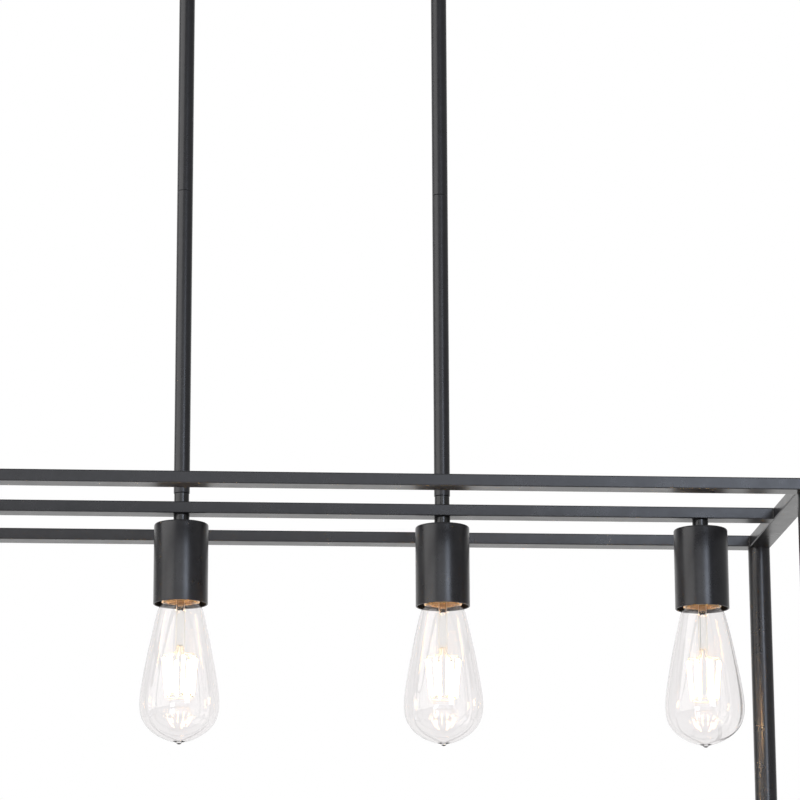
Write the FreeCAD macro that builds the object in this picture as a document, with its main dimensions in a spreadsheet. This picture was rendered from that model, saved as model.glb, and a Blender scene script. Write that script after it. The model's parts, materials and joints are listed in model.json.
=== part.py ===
import FreeCAD, Part
import math
import os

import Sketcher

# Linear island pendant. Four clear filament bulbs hang in a row, in plain cups, from the
# middle rail of an open box frame of black steel tube. Two stems carry the frame from a
# canopy on the ceiling, through a ball swivel each, and a strap holds the canopy.
# X runs along the row of lamps, Y from front to back and Z up. The ceiling is at Z = 0.

Vector = FreeCAD.Vector
Rotation = FreeCAD.Rotation
UP = Vector(0, 0, 1)
CLOSE = 0.001
doc = FreeCAD.newDocument("IslandPendant")

# ---- Driving dimensions, in millimetres ----

SIZES = (
    # box frame
    ("rail_width", 18.4, "frame tube, across"),
    ("rail_height", 9.5, "frame tube, top to bottom"),
    ("rail_wall", 1.2, "frame tube's wall"),
    ("rail_corner", 0.9, "frame tube's outer corner radius"),
    ("lamp_pitch", 212, "centre to centre of two lamps, and of the stems"),
    ("end_gap", 59.3, "last lamp's centre to the end bar"),
    ("side_reach", 114, "middle rail's centre to the front or back rail's"),
    ("post_diameter", 18.4, "corner post"),
    ("post_wall", 1.2, "corner post's wall"),
    ("post_length", 276, "corner post, between the rails"),
    # stems and their threaded tubes
    ("stem_diameter", 13, "stem tube"),
    ("stem_wall", 1.45, "stem tube's wall"),
    ("stem_length", 256, "one stem; two make a hanger"),
    ("stem_bevel", 0.4, "bevel on a stem's ends, which shows as the joint line"),
    ("spacer_diameter", 12.2, "collar between stem and rail"),
    ("spacer_length", 8, "collar between stem and rail"),
    ("nipple_diameter", 9.6, "threaded tube"),
    ("nipple_bore", 6.6, "threaded tube's bore"),
    ("thread_play", 0.1, "play across between a thread and its hole"),
    ("stem_grip", 12, "threaded tube inside the end of a stem"),
    ("nut_flats", 13, "hexagon nut on a threaded tube, across flats"),
    ("nut_height", 2.8, "hexagon nut on a threaded tube"),
    # canopy and ceiling strap
    ("canopy_length", 340, "canopy, along X"),
    ("canopy_width", 114, "canopy, along Y"),
    ("canopy_height", 26, "canopy, below the ceiling"),
    ("canopy_wall", 1.2, "canopy's sheet"),
    ("canopy_corner", 8, "canopy's corner radius in plan"),
    ("canopy_edge", 2.5, "canopy's lower edge radius"),
    ("strap_length", 170, "ceiling strap"),
    ("strap_width", 26, "ceiling strap"),
    ("strap_thickness", 2, "ceiling strap's sheet"),
    ("strap_flange", 6, "depth of the strap's two long edges"),
    ("box_screw_pitch", 88.9, "ceiling box screws, centre to centre"),
    ("slot_width", 5, "slot for a ceiling box screw"),
    ("slot_length", 14, "slot for a ceiling box screw, end to end"),
    ("stud_pitch", 150, "canopy studs, centre to centre"),
    ("stud_diameter", 4.1, "canopy stud"),
    ("stud_tail", 6, "canopy stud below the canopy"),
    ("stud_play", 0.8, "play across between a stud and the canopy's hole"),
    ("cap_nut_diameter", 11, "domed nut under the canopy"),
    ("cap_nut_skirt", 5, "straight part of the domed nut"),
    ("ground_place", 22, "ground screw from the strap's middle"),
    ("ground_head", 8, "ground screw's head diameter"),
    ("ground_head_height", 3, "ground screw's head"),
    # ball swivels
    ("ball_diameter", 22, "swivel ball"),
    ("ball_play", 0.3, "gap between ball and seat"),
    ("ball_hang", 7, "ball's centre below the canopy"),
    ("ball_flat", 6.5, "ball's flat top above its centre"),
    ("ball_bore", 5.8, "wire hole through the ball"),
    ("flare_diameter", 13.4, "wire hole's width at the ball's flat top"),
    ("ball_neck_diameter", 9.5, "neck below the ball"),
    ("ball_neck_length", 15, "ball's centre to the collar that seats the stem"),
    ("ball_collar_height", 4, "collar that seats the stem"),
    ("spigot_length", 10, "threaded end inside the stem"),
    ("mouth_drop", 6.5, "ball's centre to the socket's mouth"),
    ("socket_diameter", 29, "swivel socket"),
    ("socket_taper", 4, "height of the socket's tapered lip"),
    ("socket_lip_diameter", 22, "socket's lower edge"),
    ("collar_diameter", 26, "threaded collar through the canopy"),
    ("collar_height", 5.1, "threaded collar above the canopy's underside"),
    ("lock_nut_flats", 32, "nut on the threaded collar, across flats"),
    ("lock_nut_height", 3.5, "nut on the threaded collar"),
    # lamp cups and lamp holders
    ("neck_diameter", 13, "neck between rail and cup"),
    ("neck_length", 7.8, "neck between rail and cup"),
    ("cup_diameter", 44, "lamp cup"),
    ("cup_height", 65.7, "lamp cup"),
    ("cup_wall", 1.2, "lamp cup's sheet"),
    ("cup_edge", 1.6, "lamp cup's upper edge radius"),
    ("holder_diameter", 31, "lamp holder's insulating body"),
    ("holder_cap", 8, "lamp holder's threaded top"),
    ("nipple_tail", 5, "threaded tube inside the lamp holder"),
    ("terminal_bore", 20, "wiring space in the lamp holder"),
    ("terminal_web", 4, "floor under the wiring space"),
    ("shell_wall", 0.5, "lamp holder's screw shell"),
    ("shell_play", 0.1, "gap between screw shell and lamp holder"),
    ("shell_eye", 16, "hole in the screw shell's top"),
    ("shell_headroom", 2.5, "space above the bulb's tip"),
    ("shell_lift", 0.5, "screw shell's edge above the lamp holder's"),
    ("contact_diameter", 7, "centre contact"),
    ("contact_gap", 0.3, "centre contact to the bulb's tip"),
    # bulbs
    ("bulb_recess", 1.5, "bulb cap's edge above the cup's rim"),
    ("cap_diameter", 26, "bulb's screw cap"),
    ("cap_length", 27, "bulb's screw cap with its tip"),
    ("cap_play", 0.4, "gap between screw cap and screw shell"),
    ("cap_wall", 0.6, "screw cap's wall"),
    ("cap_cone", 5, "height of the screw cap's tapered end"),
    ("cap_top_diameter", 14, "screw cap's flat end"),
    ("cap_depth", 18, "depth of the hollow that holds the glass"),
    ("tip_diameter", 9.5, "bulb's tip contact"),
    ("tip_height", 1.8, "bulb's tip contact"),
    ("glass_wall", 0.9, "bulb's glass"),
    ("glass_neck_diameter", 24.4, "glass inside the screw cap"),
    ("glass_grip", 12, "glass inside the screw cap"),
    ("shoulder_diameter", 36.4, "glass just below the screw cap"),
    ("shoulder_drop", 6, "screw cap's edge to the shoulder"),
    ("flank_diameter", 39, "where the line of the upper flank leads"),
    ("flank_drop", 9.6, "screw cap's edge to that place"),
    ("belly_diameter", 64, "glass at its widest"),
    ("belly_drop", 81, "screw cap's edge to the widest place"),
    ("belly_lead", 14.9, "pull of the flank's curve above the widest place"),
    ("dome_lead", 7.8, "pull of the dome's curve below the widest place"),
    ("dome_drop", 106, "screw cap's edge to the dome's lower pull"),
    ("bulb_drop", 115, "screw cap's edge to the glass tip"),
    ("pip_height", 1.6, "sealed glass tip"),
    ("pip_diameter", 6, "sealed glass tip at its root"),
    ("pip_thickness", 2.1, "glass at the sealed tip"),
    # inside the bulbs
    ("mount_diameter", 5.4, "glass rod that carries the filaments"),
    ("mount_drop", 35.5, "screw cap's edge to the glass rod's end"),
    ("flare_height", 12, "glass foot that seals the rod into the neck"),
    ("flare_lift", 8, "top of the glass foot above the screw cap's edge"),
    ("filament_diameter", 2.2, "one filament"),
    ("filament_top_drop", 43.5, "screw cap's edge to the filaments' upper ends"),
    ("filament_end_drop", 76, "screw cap's edge to the filaments' lower ends"),
    ("filament_top_circle", 27, "circle through the upper ends"),
    ("filament_end_circle", 21, "circle through the lower ends"),
    ("support_wire", 0.7, "wire inside the bulb"),
    # wiring
    ("wire_diameter", 2, "insulated wire"),
    ("wire_offset", 1.4, "wire beside the middle of its tube"),
    ("wire_gap", 1.2, "wire's end above or below the swivel's centre"),
    ("wire_bend", 3, "bend of a wire inside the rail"),
    ("wire_rise", 5.9, "wire above the rail's underside"),
    ("window_play", 0.7, "room round a wire in the threaded tube's window"),
    ("rest_gap", 0.3, "gap between a wire nut and the canopy it lies on"),
    ("lead_turn", 84, "supply lead's last turn, from the middle"),
    ("wire_nut_mouth", 74, "wire nut's mouth, from the middle"),
    ("wire_nut_reach", 30, "wire nut, front or back from the middle"),
    ("wire_nut_length", 18, "wire nut"),
    ("wire_nut_diameter", 10, "wire nut's mouth"),
    ("wire_nut_end_diameter", 7, "wire nut's closed end"),
    ("wire_nut_bore", 5, "hole in the wire nut's mouth"),
    ("wire_nut_depth", 9, "hole in the wire nut's mouth"),
)

sheet = doc.addObject("Spreadsheet::Sheet", "Sizes")
for row, (alias, amount, meaning) in enumerate(SIZES, start=1):
    sheet.set(f"A{row}", alias)
    sheet.set(f"B{row}", str(amount))
    sheet.set(f"C{row}", meaning)
    sheet.setAlias(f"B{row}", alias)
doc.recompute()


class Size:
    """A length, held as an expression of the sheet and as its present value."""

    def __init__(self, text, value):
        self.text = text
        self.value = float(value)

    def __add__(self, other):
        other = as_size(other)
        return Size(f"({self.text} + {other.text})", self.value + other.value)

    def __sub__(self, other):
        other = as_size(other)
        return Size(f"({self.text} - {other.text})", self.value - other.value)

    def __mul__(self, factor):
        return Size(f"({self.text} * {factor})", self.value * factor)

    def __truediv__(self, divisor):
        return Size(f"({self.text} / {divisor})", self.value / divisor)

    def __neg__(self):
        return Size(f"(-{self.text})", -self.value)


def as_size(value):
    return value if isinstance(value, Size) else Size(repr(value), value)


class Sheet:
    """Gives every cell of the sheet by its alias."""

    def __getattr__(self, alias):
        return Size(f"Sizes.{alias}", sheet.get(alias))


size = Sheet()

# ---- Levels, from the ceiling down ----

canopy_under = -size.canopy_height
canopy_inside = canopy_under + size.canopy_wall
ball_level = canopy_under - size.ball_hang
mouth_level = ball_level - size.mouth_drop
ball_collar_level = ball_level - size.ball_neck_length
stem_top = ball_collar_level - size.ball_collar_height
seam_level = stem_top - size.stem_length
stem_end = seam_level - size.stem_length
rail_top = stem_end - size.spacer_length
rail_middle = rail_top - size.rail_height / 2
rail_under = rail_top - size.rail_height
post_end = rail_under - size.post_length
low_rail_middle = post_end - size.rail_height / 2
cup_top = rail_under - size.neck_length
cup_rim = cup_top - size.cup_height
cup_inside = cup_top - size.cup_wall
holder_top = cup_inside - size.nut_height
nipple_end = holder_top - size.nipple_tail
cap_edge = cup_rim + size.bulb_recess
cap_flat = cap_edge + size.cap_length - size.tip_height
tip_level = cap_edge + size.cap_length
shell_top = tip_level + size.shell_headroom + size.shell_wall
web_top = shell_top + size.terminal_web
wire_level = rail_under + size.wire_rise
lead_level = canopy_inside + size.rest_gap + size.wire_nut_diameter / 2

# ---- Places across the frame ----

LAMPS = range(1, 5)
MIDDLE_LAMP = 2.5
FILAMENTS = 8
SIDES = (("left", -1), ("right", 1))
ENDS = (("front", -1), ("back", 1))

lamp_x = {lamp: size.lamp_pitch * (lamp - MIDDLE_LAMP) for lamp in LAMPS}
stem_x = {"left": lamp_x[2], "right": lamp_x[3]}
far_lamp_x = {"left": lamp_x[1], "right": lamp_x[4]}
inner_half_length = lamp_x[4] + size.end_gap
corner_x = inner_half_length + size.rail_width / 2
outer_half_length = inner_half_length + size.rail_width
outer_half_width = size.side_reach + size.rail_width / 2
thread_hole = size.nipple_diameter + size.thread_play

# ---- Helpers ----


def bind(item, name, value):
    item.setExpression(name, as_size(value).text)


def move(item, x=0, y=0, z=0, turn=0):
    item.Placement = FreeCAD.Placement(Vector(), Rotation(UP, turn))
    for axis, value in (("x", x), ("y", y), ("z", z)):
        if isinstance(value, Size):
            bind(item, f"Placement.Base.{axis}", value)
    return item


def primitive(kind, name, **sizes):
    item = doc.addObject(f"Part::{kind}", name)
    for label, value in sizes.items():
        bind(item, label, value)
    return item


def cylinder(name, diameter, height, x=0, y=0, z=0):
    return move(primitive("Cylinder", name, Radius=diameter / 2, Height=height), x, y, z)


def cone(name, lower, upper, height, x=0, y=0, z=0):
    item = primitive("Cone", name, Radius1=lower / 2, Radius2=upper / 2, Height=height)
    return move(item, x, y, z)


def box(name, length, width, height, x, y, z):
    """A box centred on x and y that stands on z."""
    item = primitive("Box", name, Length=length, Width=width, Height=height)
    return move(item, as_size(x) - length / 2, as_size(y) - width / 2, z)


def hexagon(name, flats, height, x=0, y=0, z=0):
    item = doc.addObject("Part::Prism", name)
    item.Polygon = 6
    bind(item, "Circumradius", flats * round(0.5 / math.cos(math.pi / 6), 6))
    bind(item, "Height", height)
    return move(item, x, y, z)


def fuse(name, pieces):
    item = doc.addObject("Part::MultiFuse", name)
    item.Shapes = pieces
    return item


def cut(name, base, *tools):
    item = doc.addObject("Part::Cut", name)
    item.Base = base
    item.Tool = tools[0] if len(tools) == 1 else fuse(name + "_tools", list(tools))
    return item


def group(name, pieces):
    item = doc.addObject("Part::Compound", name)
    item.Links = pieces
    return item


def nut(name, bore, flats, height, x, z):
    return cut(name, hexagon(name + "_hexagon", flats, height, x, 0, z),
               cylinder(name + "_bore", bore, height, x, 0, z))


def sleeve(name, outer, inner, height, x, z):
    return cut(name, cylinder(name + "_outside", outer, height, x, 0, z),
               cylinder(name + "_bore", inner, height, x, 0, z))


def new_body(name, x=0, y=0, z=0, turn=0):
    return move(doc.addObject("PartDesign::Body", name), x, y, z, turn)


def new_sketch(body, name, plane="XY_Plane"):
    sketch = body.newObject("Sketcher::SketchObject", name)
    origin = [item for item in body.Origin.OriginFeatures if item.Role == plane][0]
    sketch.AttachmentSupport = [(origin, "")]
    sketch.MapMode = "FlatFace"
    return sketch


def limit(sketch, kind, *where):
    """Adds a dimension whose last argument is a Size."""
    wanted = where[-1]
    index = sketch.addConstraint(Sketcher.Constraint(kind, *where[:-1], wanted.value))
    sketch.setExpression(f"Constraints[{index}]", wanted.text)


def pin(sketch, shape, point, x, y):
    """Holds a point of the sketch at x and y from its origin."""
    for kind, axis, place in (("DistanceX", -2, as_size(x)), ("DistanceY", -1, as_size(y))):
        if place.value == 0:
            sketch.addConstraint(Sketcher.Constraint("PointOnObject", shape, point, axis))
        elif place.value > 0:
            limit(sketch, kind, -1, 1, shape, point, place)
        else:
            limit(sketch, kind, shape, point, -1, 1, -place)


def draw_circle(sketch, diameter, x=0, y=0):
    centre = Vector(as_size(x).value, as_size(y).value, 0)
    shape = sketch.addGeometry(Part.Circle(centre, UP, diameter.value / 2), False)
    limit(sketch, "Diameter", shape, diameter)
    pin(sketch, shape, 3, x, y)


def draw_polygon(sketch, corners):
    """Draws a closed outline whose corners are all held by the sheet."""
    places = [Vector(as_size(x).value, as_size(y).value, 0) for x, y in corners]
    lines = [sketch.addGeometry(Part.LineSegment(places[i - 1], places[i]), False)
             for i in range(len(places))]
    for i, line in enumerate(lines):
        following = lines[(i + 1) % len(lines)]
        sketch.addConstraint(Sketcher.Constraint("Coincident", line, 2, following, 1))
        pin(sketch, line, 2, *corners[i])


def draw_rectangle(sketch, width, height):
    right, top = width / 2, height / 2
    draw_polygon(sketch, [(-right, -top), (right, -top), (right, top), (-right, top)])


def draw_rounded_rectangle(sketch, width, height, radius):
    right, top, bend = width.value / 2, height.value / 2, radius.value
    quarter = math.pi / 2
    inner_x, inner_y = right - bend, top - bend
    sides = ((-inner_x, -top, inner_x, -top), (right, -inner_y, right, inner_y),
             (inner_x, top, -inner_x, top), (-right, inner_y, -right, -inner_y))
    centres = ((inner_x, -inner_y), (inner_x, inner_y), (-inner_x, inner_y), (-inner_x, -inner_y))
    lines, arcs = [], []
    for i in range(4):
        x0, y0, x1, y1 = sides[i]
        line = Part.LineSegment(Vector(x0, y0, 0), Vector(x1, y1, 0))
        circle = Part.Circle(Vector(*centres[i], 0), UP, bend)
        arc = Part.ArcOfCircle(circle, (i - 1) * quarter, i * quarter)
        lines.append(sketch.addGeometry(line, False))
        arcs.append(sketch.addGeometry(arc, False))
    for i in range(4):
        following = lines[(i + 1) % 4]
        sketch.addConstraint(Sketcher.Constraint("Tangent", lines[i], 2, arcs[i], 1))
        sketch.addConstraint(Sketcher.Constraint("Tangent", arcs[i], 2, following, 1))
        level = "Horizontal" if i % 2 == 0 else "Vertical"
        sketch.addConstraint(Sketcher.Constraint(level, lines[i]))
    for arc in arcs[1:]:
        sketch.addConstraint(Sketcher.Constraint("Equal", arcs[0], arc))
    limit(sketch, "Radius", arcs[0], radius)
    limit(sketch, "DistanceX", lines[3], 1, lines[1], 1, width)
    limit(sketch, "DistanceY", lines[0], 1, lines[2], 1, height)
    sketch.addConstraint(Sketcher.Constraint("Symmetric", lines[0], 1, lines[2], 1, -1, 1))


def extrude(body, kind, sketch, length=None, downwards=False, both_ways=False):
    """A Pad or Pocket of the sketch. A Pocket with no length goes right through."""
    feature = body.newObject(f"PartDesign::{kind}", f"{sketch.Name}_{kind}")
    feature.Profile = sketch
    feature.Reversed = downwards if kind == "Pad" else not downwards
    if both_ways:
        feature.SideType = "Symmetric"
    if length is None:
        feature.Type = "ThroughAll"
    else:
        bind(feature, "Length", length)
    doc.recompute()
    return feature


def edges_where(feature, wanted):
    edges = enumerate(feature.Shape.Edges, start=1)
    return [f"Edge{index}" for index, edge in edges if wanted(edge)]


def dress(body, kind, feature, amount, wanted):
    """A Fillet or Chamfer on the edges for which wanted(edge) is true."""
    item = body.newObject(f"PartDesign::{kind}", f"{feature.Name}_{kind}")
    item.Base = (feature, edges_where(feature, wanted))
    bind(item, "Radius" if kind == "Fillet" else "Size", amount)
    doc.recompute()
    return item


def route_edges(points, largest_bend=None):
    """Straight runs joined by tangent arcs, each as large as its two runs allow."""
    edges, bends, start = [], [], points[0]
    for before, corner, after in zip(points, points[1:], points[2:]):
        way_in = (corner - before).normalize()
        way_out = (after - corner).normalize()
        half_turn = way_in.getAngle(way_out) / 2
        run = min((corner - before).Length, (after - corner).Length)
        bend = 0.45 * run / math.tan(half_turn)
        if largest_bend is not None:
            bend = min(bend, largest_bend)
        setback = bend * math.tan(half_turn)
        entry, leave = corner - way_in * setback, corner + way_out * setback
        centre = corner + (way_out - way_in).normalize() * (bend / math.cos(half_turn))
        middle = centre + (corner - centre).normalize() * bend
        edges.append(Part.LineSegment(start, entry).toShape())
        edges.append(Part.Arc(entry, middle, leave).toShape())
        bends.append(round(bend, 1))
        start = leave
    edges.append(Part.LineSegment(start, points[-1]).toShape())
    return edges, bends


def wire_solid(points, largest_bend=None):
    """A round wire along the points."""
    diameter = size.wire_diameter.value
    edges, bends = route_edges(points, largest_bend)
    path = Part.Wire(edges)
    section = Part.Wire(Part.makeCircle(diameter / 2, points[0], points[1] - points[0]))
    solid = path.makePipeShell([section], True, False)
    expected = math.pi * diameter ** 2 / 4 * path.Length
    print("wire", round(path.Length, 1), "mm, bends", bends,
          "volume ratio", round(solid.Volume / expected, 4))
    return solid


def free_shape(name, shape, x=0, z=0):
    """A piece whose shape is free-form, set at x and z."""
    item = doc.addObject("Part::Feature", name)
    item.Shape = shape
    item.Placement = FreeCAD.Placement(Vector(as_size(x).value, 0, as_size(z).value), Rotation())
    return item


# ---- Box frame ----


def draw_tube_section(sketch):
    draw_rounded_rectangle(sketch, size.rail_width, size.rail_height, size.rail_corner)
    inner_width = size.rail_width - size.rail_wall * 2
    inner_height = size.rail_height - size.rail_wall * 2
    draw_rectangle(sketch, inner_width, inner_height)


def make_mitred_bar(name, half_length, x, y, z, turn):
    """A tube along its own X whose longer side, at -Y, reaches half_length each way."""
    body = new_body(name, x, y, z, turn)
    section = new_sketch(body, name + "_section", "YZ_Plane")
    draw_tube_section(section)
    extrude(body, "Pad", section, half_length * 2, both_ways=True)
    mitre = new_sketch(body, name + "_mitre")
    half = size.rail_width / 2
    spare = size.rail_width / 4
    for side in (-1, 1):
        reach = (half_length + spare) * side
        root = (half_length - size.rail_width - spare) * side
        draw_polygon(mitre, [(reach, -half - spare), (root, half + spare), (reach, half + spare)])
    extrude(body, "Pocket", mitre, both_ways=True)
    return body


def make_ring(level, middle):
    """The four mitred tubes of one rectangle of the frame."""
    bars = [
        make_mitred_bar(f"front_{level}_rail", outer_half_length, 0, -size.side_reach, middle, 0),
        make_mitred_bar(f"back_{level}_rail", outer_half_length, 0, size.side_reach, middle, 180),
        make_mitred_bar(f"right_{level}_bar", outer_half_width, corner_x, 0, middle, 90),
        make_mitred_bar(f"left_{level}_bar", outer_half_width, -corner_x, 0, middle, -90),
    ]
    return bars


def make_round_tube(name, outer, wall, length, x, y, z):
    body = new_body(name, x, y, z)
    section = new_sketch(body, name + "_section")
    draw_circle(section, outer)
    draw_circle(section, outer - wall * 2)
    extrude(body, "Pad", section, length)
    return body


def make_posts():
    return [make_round_tube(f"post_{end}_{side}", size.post_diameter, size.post_wall,
                            size.post_length, corner_x * x_sign, size.side_reach * y_sign, post_end)
            for end, y_sign in ENDS for side, x_sign in SIDES]


def make_middle_rail():
    """The rail that carries the lamps, with holes for their threaded tubes."""
    body = new_body("centre_rail", 0, 0, rail_middle)
    section = new_sketch(body, "centre_rail_section", "YZ_Plane")
    draw_tube_section(section)
    extrude(body, "Pad", section, inner_half_length * 2, both_ways=True)
    lower_holes = new_sketch(body, "centre_rail_lower_holes")
    for lamp in LAMPS:
        draw_circle(lower_holes, thread_hole, lamp_x[lamp])
    extrude(body, "Pocket", lower_holes, downwards=True)
    upper_holes = new_sketch(body, "centre_rail_upper_holes")
    for side, _ in SIDES:
        draw_circle(upper_holes, thread_hole, stem_x[side])
    extrude(body, "Pocket", upper_holes)
    return body


# ---- Stems ----


def make_stem(name, x, z):
    body = make_round_tube(name, size.stem_diameter, size.stem_wall, size.stem_length, x, 0, z)
    outer = size.stem_diameter.value / 2

    def is_outer_end(edge):
        return isinstance(edge.Curve, Part.Circle) and abs(edge.Curve.Radius - outer) < CLOSE

    dress(body, "Chamfer", body.Tip, size.stem_bevel, is_outer_end)
    return body


def make_stems():
    return [make_stem(f"{place}_stem_{side}", stem_x[side], level)
            for side, _ in SIDES for place, level in (("upper", seam_level), ("lower", stem_end))]


def make_stem_couplers():
    return group("stem_couplers", [
        sleeve(f"coupler_{side}", size.nipple_diameter, size.nipple_bore, size.stem_grip * 2,
               stem_x[side], seam_level - size.stem_grip) for side, _ in SIDES])


def make_rail_spacers():
    return group("rail_spacers", [
        sleeve(f"spacer_{side}", size.spacer_diameter, thread_hole, size.spacer_length,
               stem_x[side], rail_top) for side, _ in SIDES])


def make_through_nipples():
    """From the stem down through the rail into the lamp holder, with a window for a wire."""
    pieces = []
    top = stem_end + size.stem_grip
    window_width = (size.wire_offset + size.wire_diameter / 2 + size.window_play) * 2
    window_height = size.wire_diameter + size.window_play * 2
    for side, sign in SIDES:
        name = f"through_nipple_{side}"
        x = stem_x[side]
        tube = sleeve(name + "_tube", size.nipple_diameter, size.nipple_bore,
                      top - nipple_end, x, nipple_end)
        window = box(name + "_window", size.nipple_diameter, window_width, window_height,
                     x + size.nipple_diameter / 2 * sign, 0, wire_level - window_height / 2)
        pieces.append(cut(name, tube, window))
    return group("through_nipples", pieces)


def make_end_nipples():
    top = rail_under + size.rail_wall + size.nut_height
    return group("end_lamp_nipples", [
        sleeve(f"end_nipple_{side}", size.nipple_diameter, size.nipple_bore, top - nipple_end,
               far_lamp_x[side], nipple_end) for side, _ in SIDES])


def make_nipple_nuts():
    """One nut under the top of each cup, and one in the rail over each end lamp."""
    cup_nuts = [nut(f"cup_nut_{lamp}", thread_hole, size.nut_flats, size.nut_height,
                    lamp_x[lamp], holder_top) for lamp in LAMPS]
    rail_nuts = [nut(f"rail_nut_{side}", thread_hole, size.nut_flats, size.nut_height,
                     far_lamp_x[side], rail_under + size.rail_wall) for side, _ in SIDES]
    return group("nipple_nuts", cup_nuts + rail_nuts)


# ---- Ceiling side ----


def make_canopy():
    body = new_body("canopy")
    outline = new_sketch(body, "canopy_outline")
    draw_rounded_rectangle(outline, size.canopy_length, size.canopy_width, size.canopy_corner)
    block = extrude(body, "Pad", outline, size.canopy_height, downwards=True)
    lowest = canopy_under.value

    def is_lower_edge(edge):
        return all(abs(vertex.Z - lowest) < CLOSE for vertex in edge.Vertexes)

    dress(body, "Fillet", block, size.canopy_edge, is_lower_edge)
    hollow = new_sketch(body, "canopy_hollow")
    draw_rounded_rectangle(hollow, size.canopy_length - size.canopy_wall * 2,
                           size.canopy_width - size.canopy_wall * 2,
                           size.canopy_corner - size.canopy_wall)
    extrude(body, "Pocket", hollow, size.canopy_height - size.canopy_wall, downwards=True)
    holes = new_sketch(body, "canopy_holes")
    for side, sign in SIDES:
        draw_circle(holes, size.collar_diameter + size.ball_play, stem_x[side])
        draw_circle(holes, size.stud_diameter + size.stud_play, size.stud_pitch / 2 * sign)
    extrude(body, "Pocket", holes, downwards=True)
    return body


def make_slot(name, x):
    """The room of one slotted hole, along X."""
    depth = size.strap_thickness
    straight = size.slot_length - size.slot_width
    middle = box(name + "_middle", straight, size.slot_width, depth, x, 0, -depth)
    ends = [cylinder(f"{name}_{side}", size.slot_width, depth, x + straight / 2 * sign, 0, -depth)
            for side, sign in SIDES]
    return fuse(name, [middle] + ends)


def make_strap():
    """A shallow channel with slots for the ceiling box screws and threaded holes."""
    depth = size.strap_thickness
    rim = size.strap_width / 2 - depth / 2
    plate = box("strap_plate", size.strap_length, size.strap_width, depth, 0, 0, -depth)
    flanges = [box(f"strap_{end}_flange", size.strap_length, depth, size.strap_flange,
                   0, rim * sign, -size.strap_flange) for end, sign in ENDS]
    channel = fuse("strap_channel", [plate] + flanges)
    slots = [make_slot(f"strap_slot_{side}", size.box_screw_pitch / 2 * sign)
             for side, sign in SIDES]
    stud_holes = [cylinder(f"strap_stud_hole_{side}", size.stud_diameter + size.thread_play,
                           depth, size.stud_pitch / 2 * sign, 0, -depth) for side, sign in SIDES]
    ground_hole = cylinder("strap_ground_hole", size.stud_diameter + size.thread_play, depth,
                           size.ground_place, 0, -depth)
    return cut("mounting_strap", channel, *slots, *stud_holes, ground_hole)


def make_studs():
    bottom = canopy_under - size.stud_tail
    return group("canopy_studs", [
        cylinder(f"stud_{side}", size.stud_diameter, -bottom, size.stud_pitch / 2 * sign, 0, bottom)
        for side, sign in SIDES])


def make_cap_nuts():
    """Domed nuts that close the canopy's two studs from below."""
    pieces = []
    for side, sign in SIDES:
        name = f"cap_nut_{side}"
        x = size.stud_pitch / 2 * sign
        skirt_end = canopy_under - size.cap_nut_skirt
        skirt = cylinder(name + "_skirt", size.cap_nut_diameter, size.cap_nut_skirt, x, 0, skirt_end)
        dome = move(primitive("Sphere", name + "_dome", Radius=size.cap_nut_diameter / 2),
                    x, 0, skirt_end)
        bore = cylinder(name + "_bore", size.stud_diameter + size.thread_play,
                        size.stud_tail + size.thread_play, x, 0,
                        canopy_under - size.stud_tail - size.thread_play)
        above = cylinder(name + "_above", size.cap_nut_diameter * 2, size.cap_nut_diameter,
                         x, 0, canopy_under)
        pieces.append(cut(name, fuse(name + "_solid", [skirt, dome]), bore, above))
    return group("canopy_cap_nuts", pieces)


def make_ground_screw():
    depth = size.strap_thickness
    shank = cylinder("ground_shank", size.stud_diameter, depth, size.ground_place, 0, -depth)
    head = cylinder("ground_screw_head", size.ground_head, size.ground_head_height,
                    size.ground_place, 0, -depth - size.ground_head_height)
    return fuse("ground_screw", [shank, head])


def make_swivel_socket(side):
    """A cup that holds the ball from below, with a threaded collar through the canopy."""
    name = f"swivel_socket_{side}"
    x = stem_x[side]
    seat = size.ball_diameter + size.ball_play * 2
    taper_top = mouth_level + size.socket_taper
    lip = cone(name + "_lip", size.socket_lip_diameter, size.socket_diameter, size.socket_taper,
               x, 0, mouth_level)
    bell = cylinder(name + "_bell", size.socket_diameter, canopy_under - taper_top, x, 0, taper_top)
    collar = cylinder(name + "_collar", size.collar_diameter, size.collar_height, x, 0, canopy_under)
    top = canopy_under + size.collar_height
    bore = cylinder(name + "_bore", seat, top - ball_level, x, 0, ball_level)
    ball_seat = move(primitive("Sphere", name + "_seat", Radius=seat / 2), x, 0, ball_level)
    return cut(name, fuse(name + "_outside", [lip, bell, collar]), bore, ball_seat)


def make_lock_nuts():
    return group("swivel_lock_nuts", [
        nut(f"lock_nut_{side}", size.collar_diameter + size.thread_play, size.lock_nut_flats,
            size.lock_nut_height, stem_x[side], canopy_inside) for side, _ in SIDES])


def make_swivel_ball(side):
    """Ball, neck, collar and threaded end in one piece, with a flared hole for the wires."""
    name = f"swivel_ball_{side}"
    x = stem_x[side]
    spigot = size.stem_diameter - size.stem_wall * 2 - size.thread_play
    spigot_end = stem_top - size.spigot_length
    ball = move(primitive("Sphere", name + "_ball", Radius=size.ball_diameter / 2), x, 0, ball_level)
    neck = cylinder(name + "_neck", size.ball_neck_diameter, size.ball_neck_length,
                    x, 0, ball_collar_level)
    collar = cylinder(name + "_collar", size.stem_diameter, size.ball_collar_height, x, 0, stem_top)
    thread = cylinder(name + "_thread", spigot, size.spigot_length, x, 0, spigot_end)
    top = ball_level + size.ball_flat
    above = cylinder(name + "_above", size.ball_diameter, size.ball_diameter, x, 0, top)
    bore = cylinder(name + "_bore", size.ball_bore, top - spigot_end, x, 0, spigot_end)
    flare = cone(name + "_flare", size.ball_bore, size.flare_diameter, size.ball_flat,
                 x, 0, ball_level)
    return cut(name, fuse(name + "_solid", [ball, neck, collar, thread]), above, bore, flare)


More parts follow.
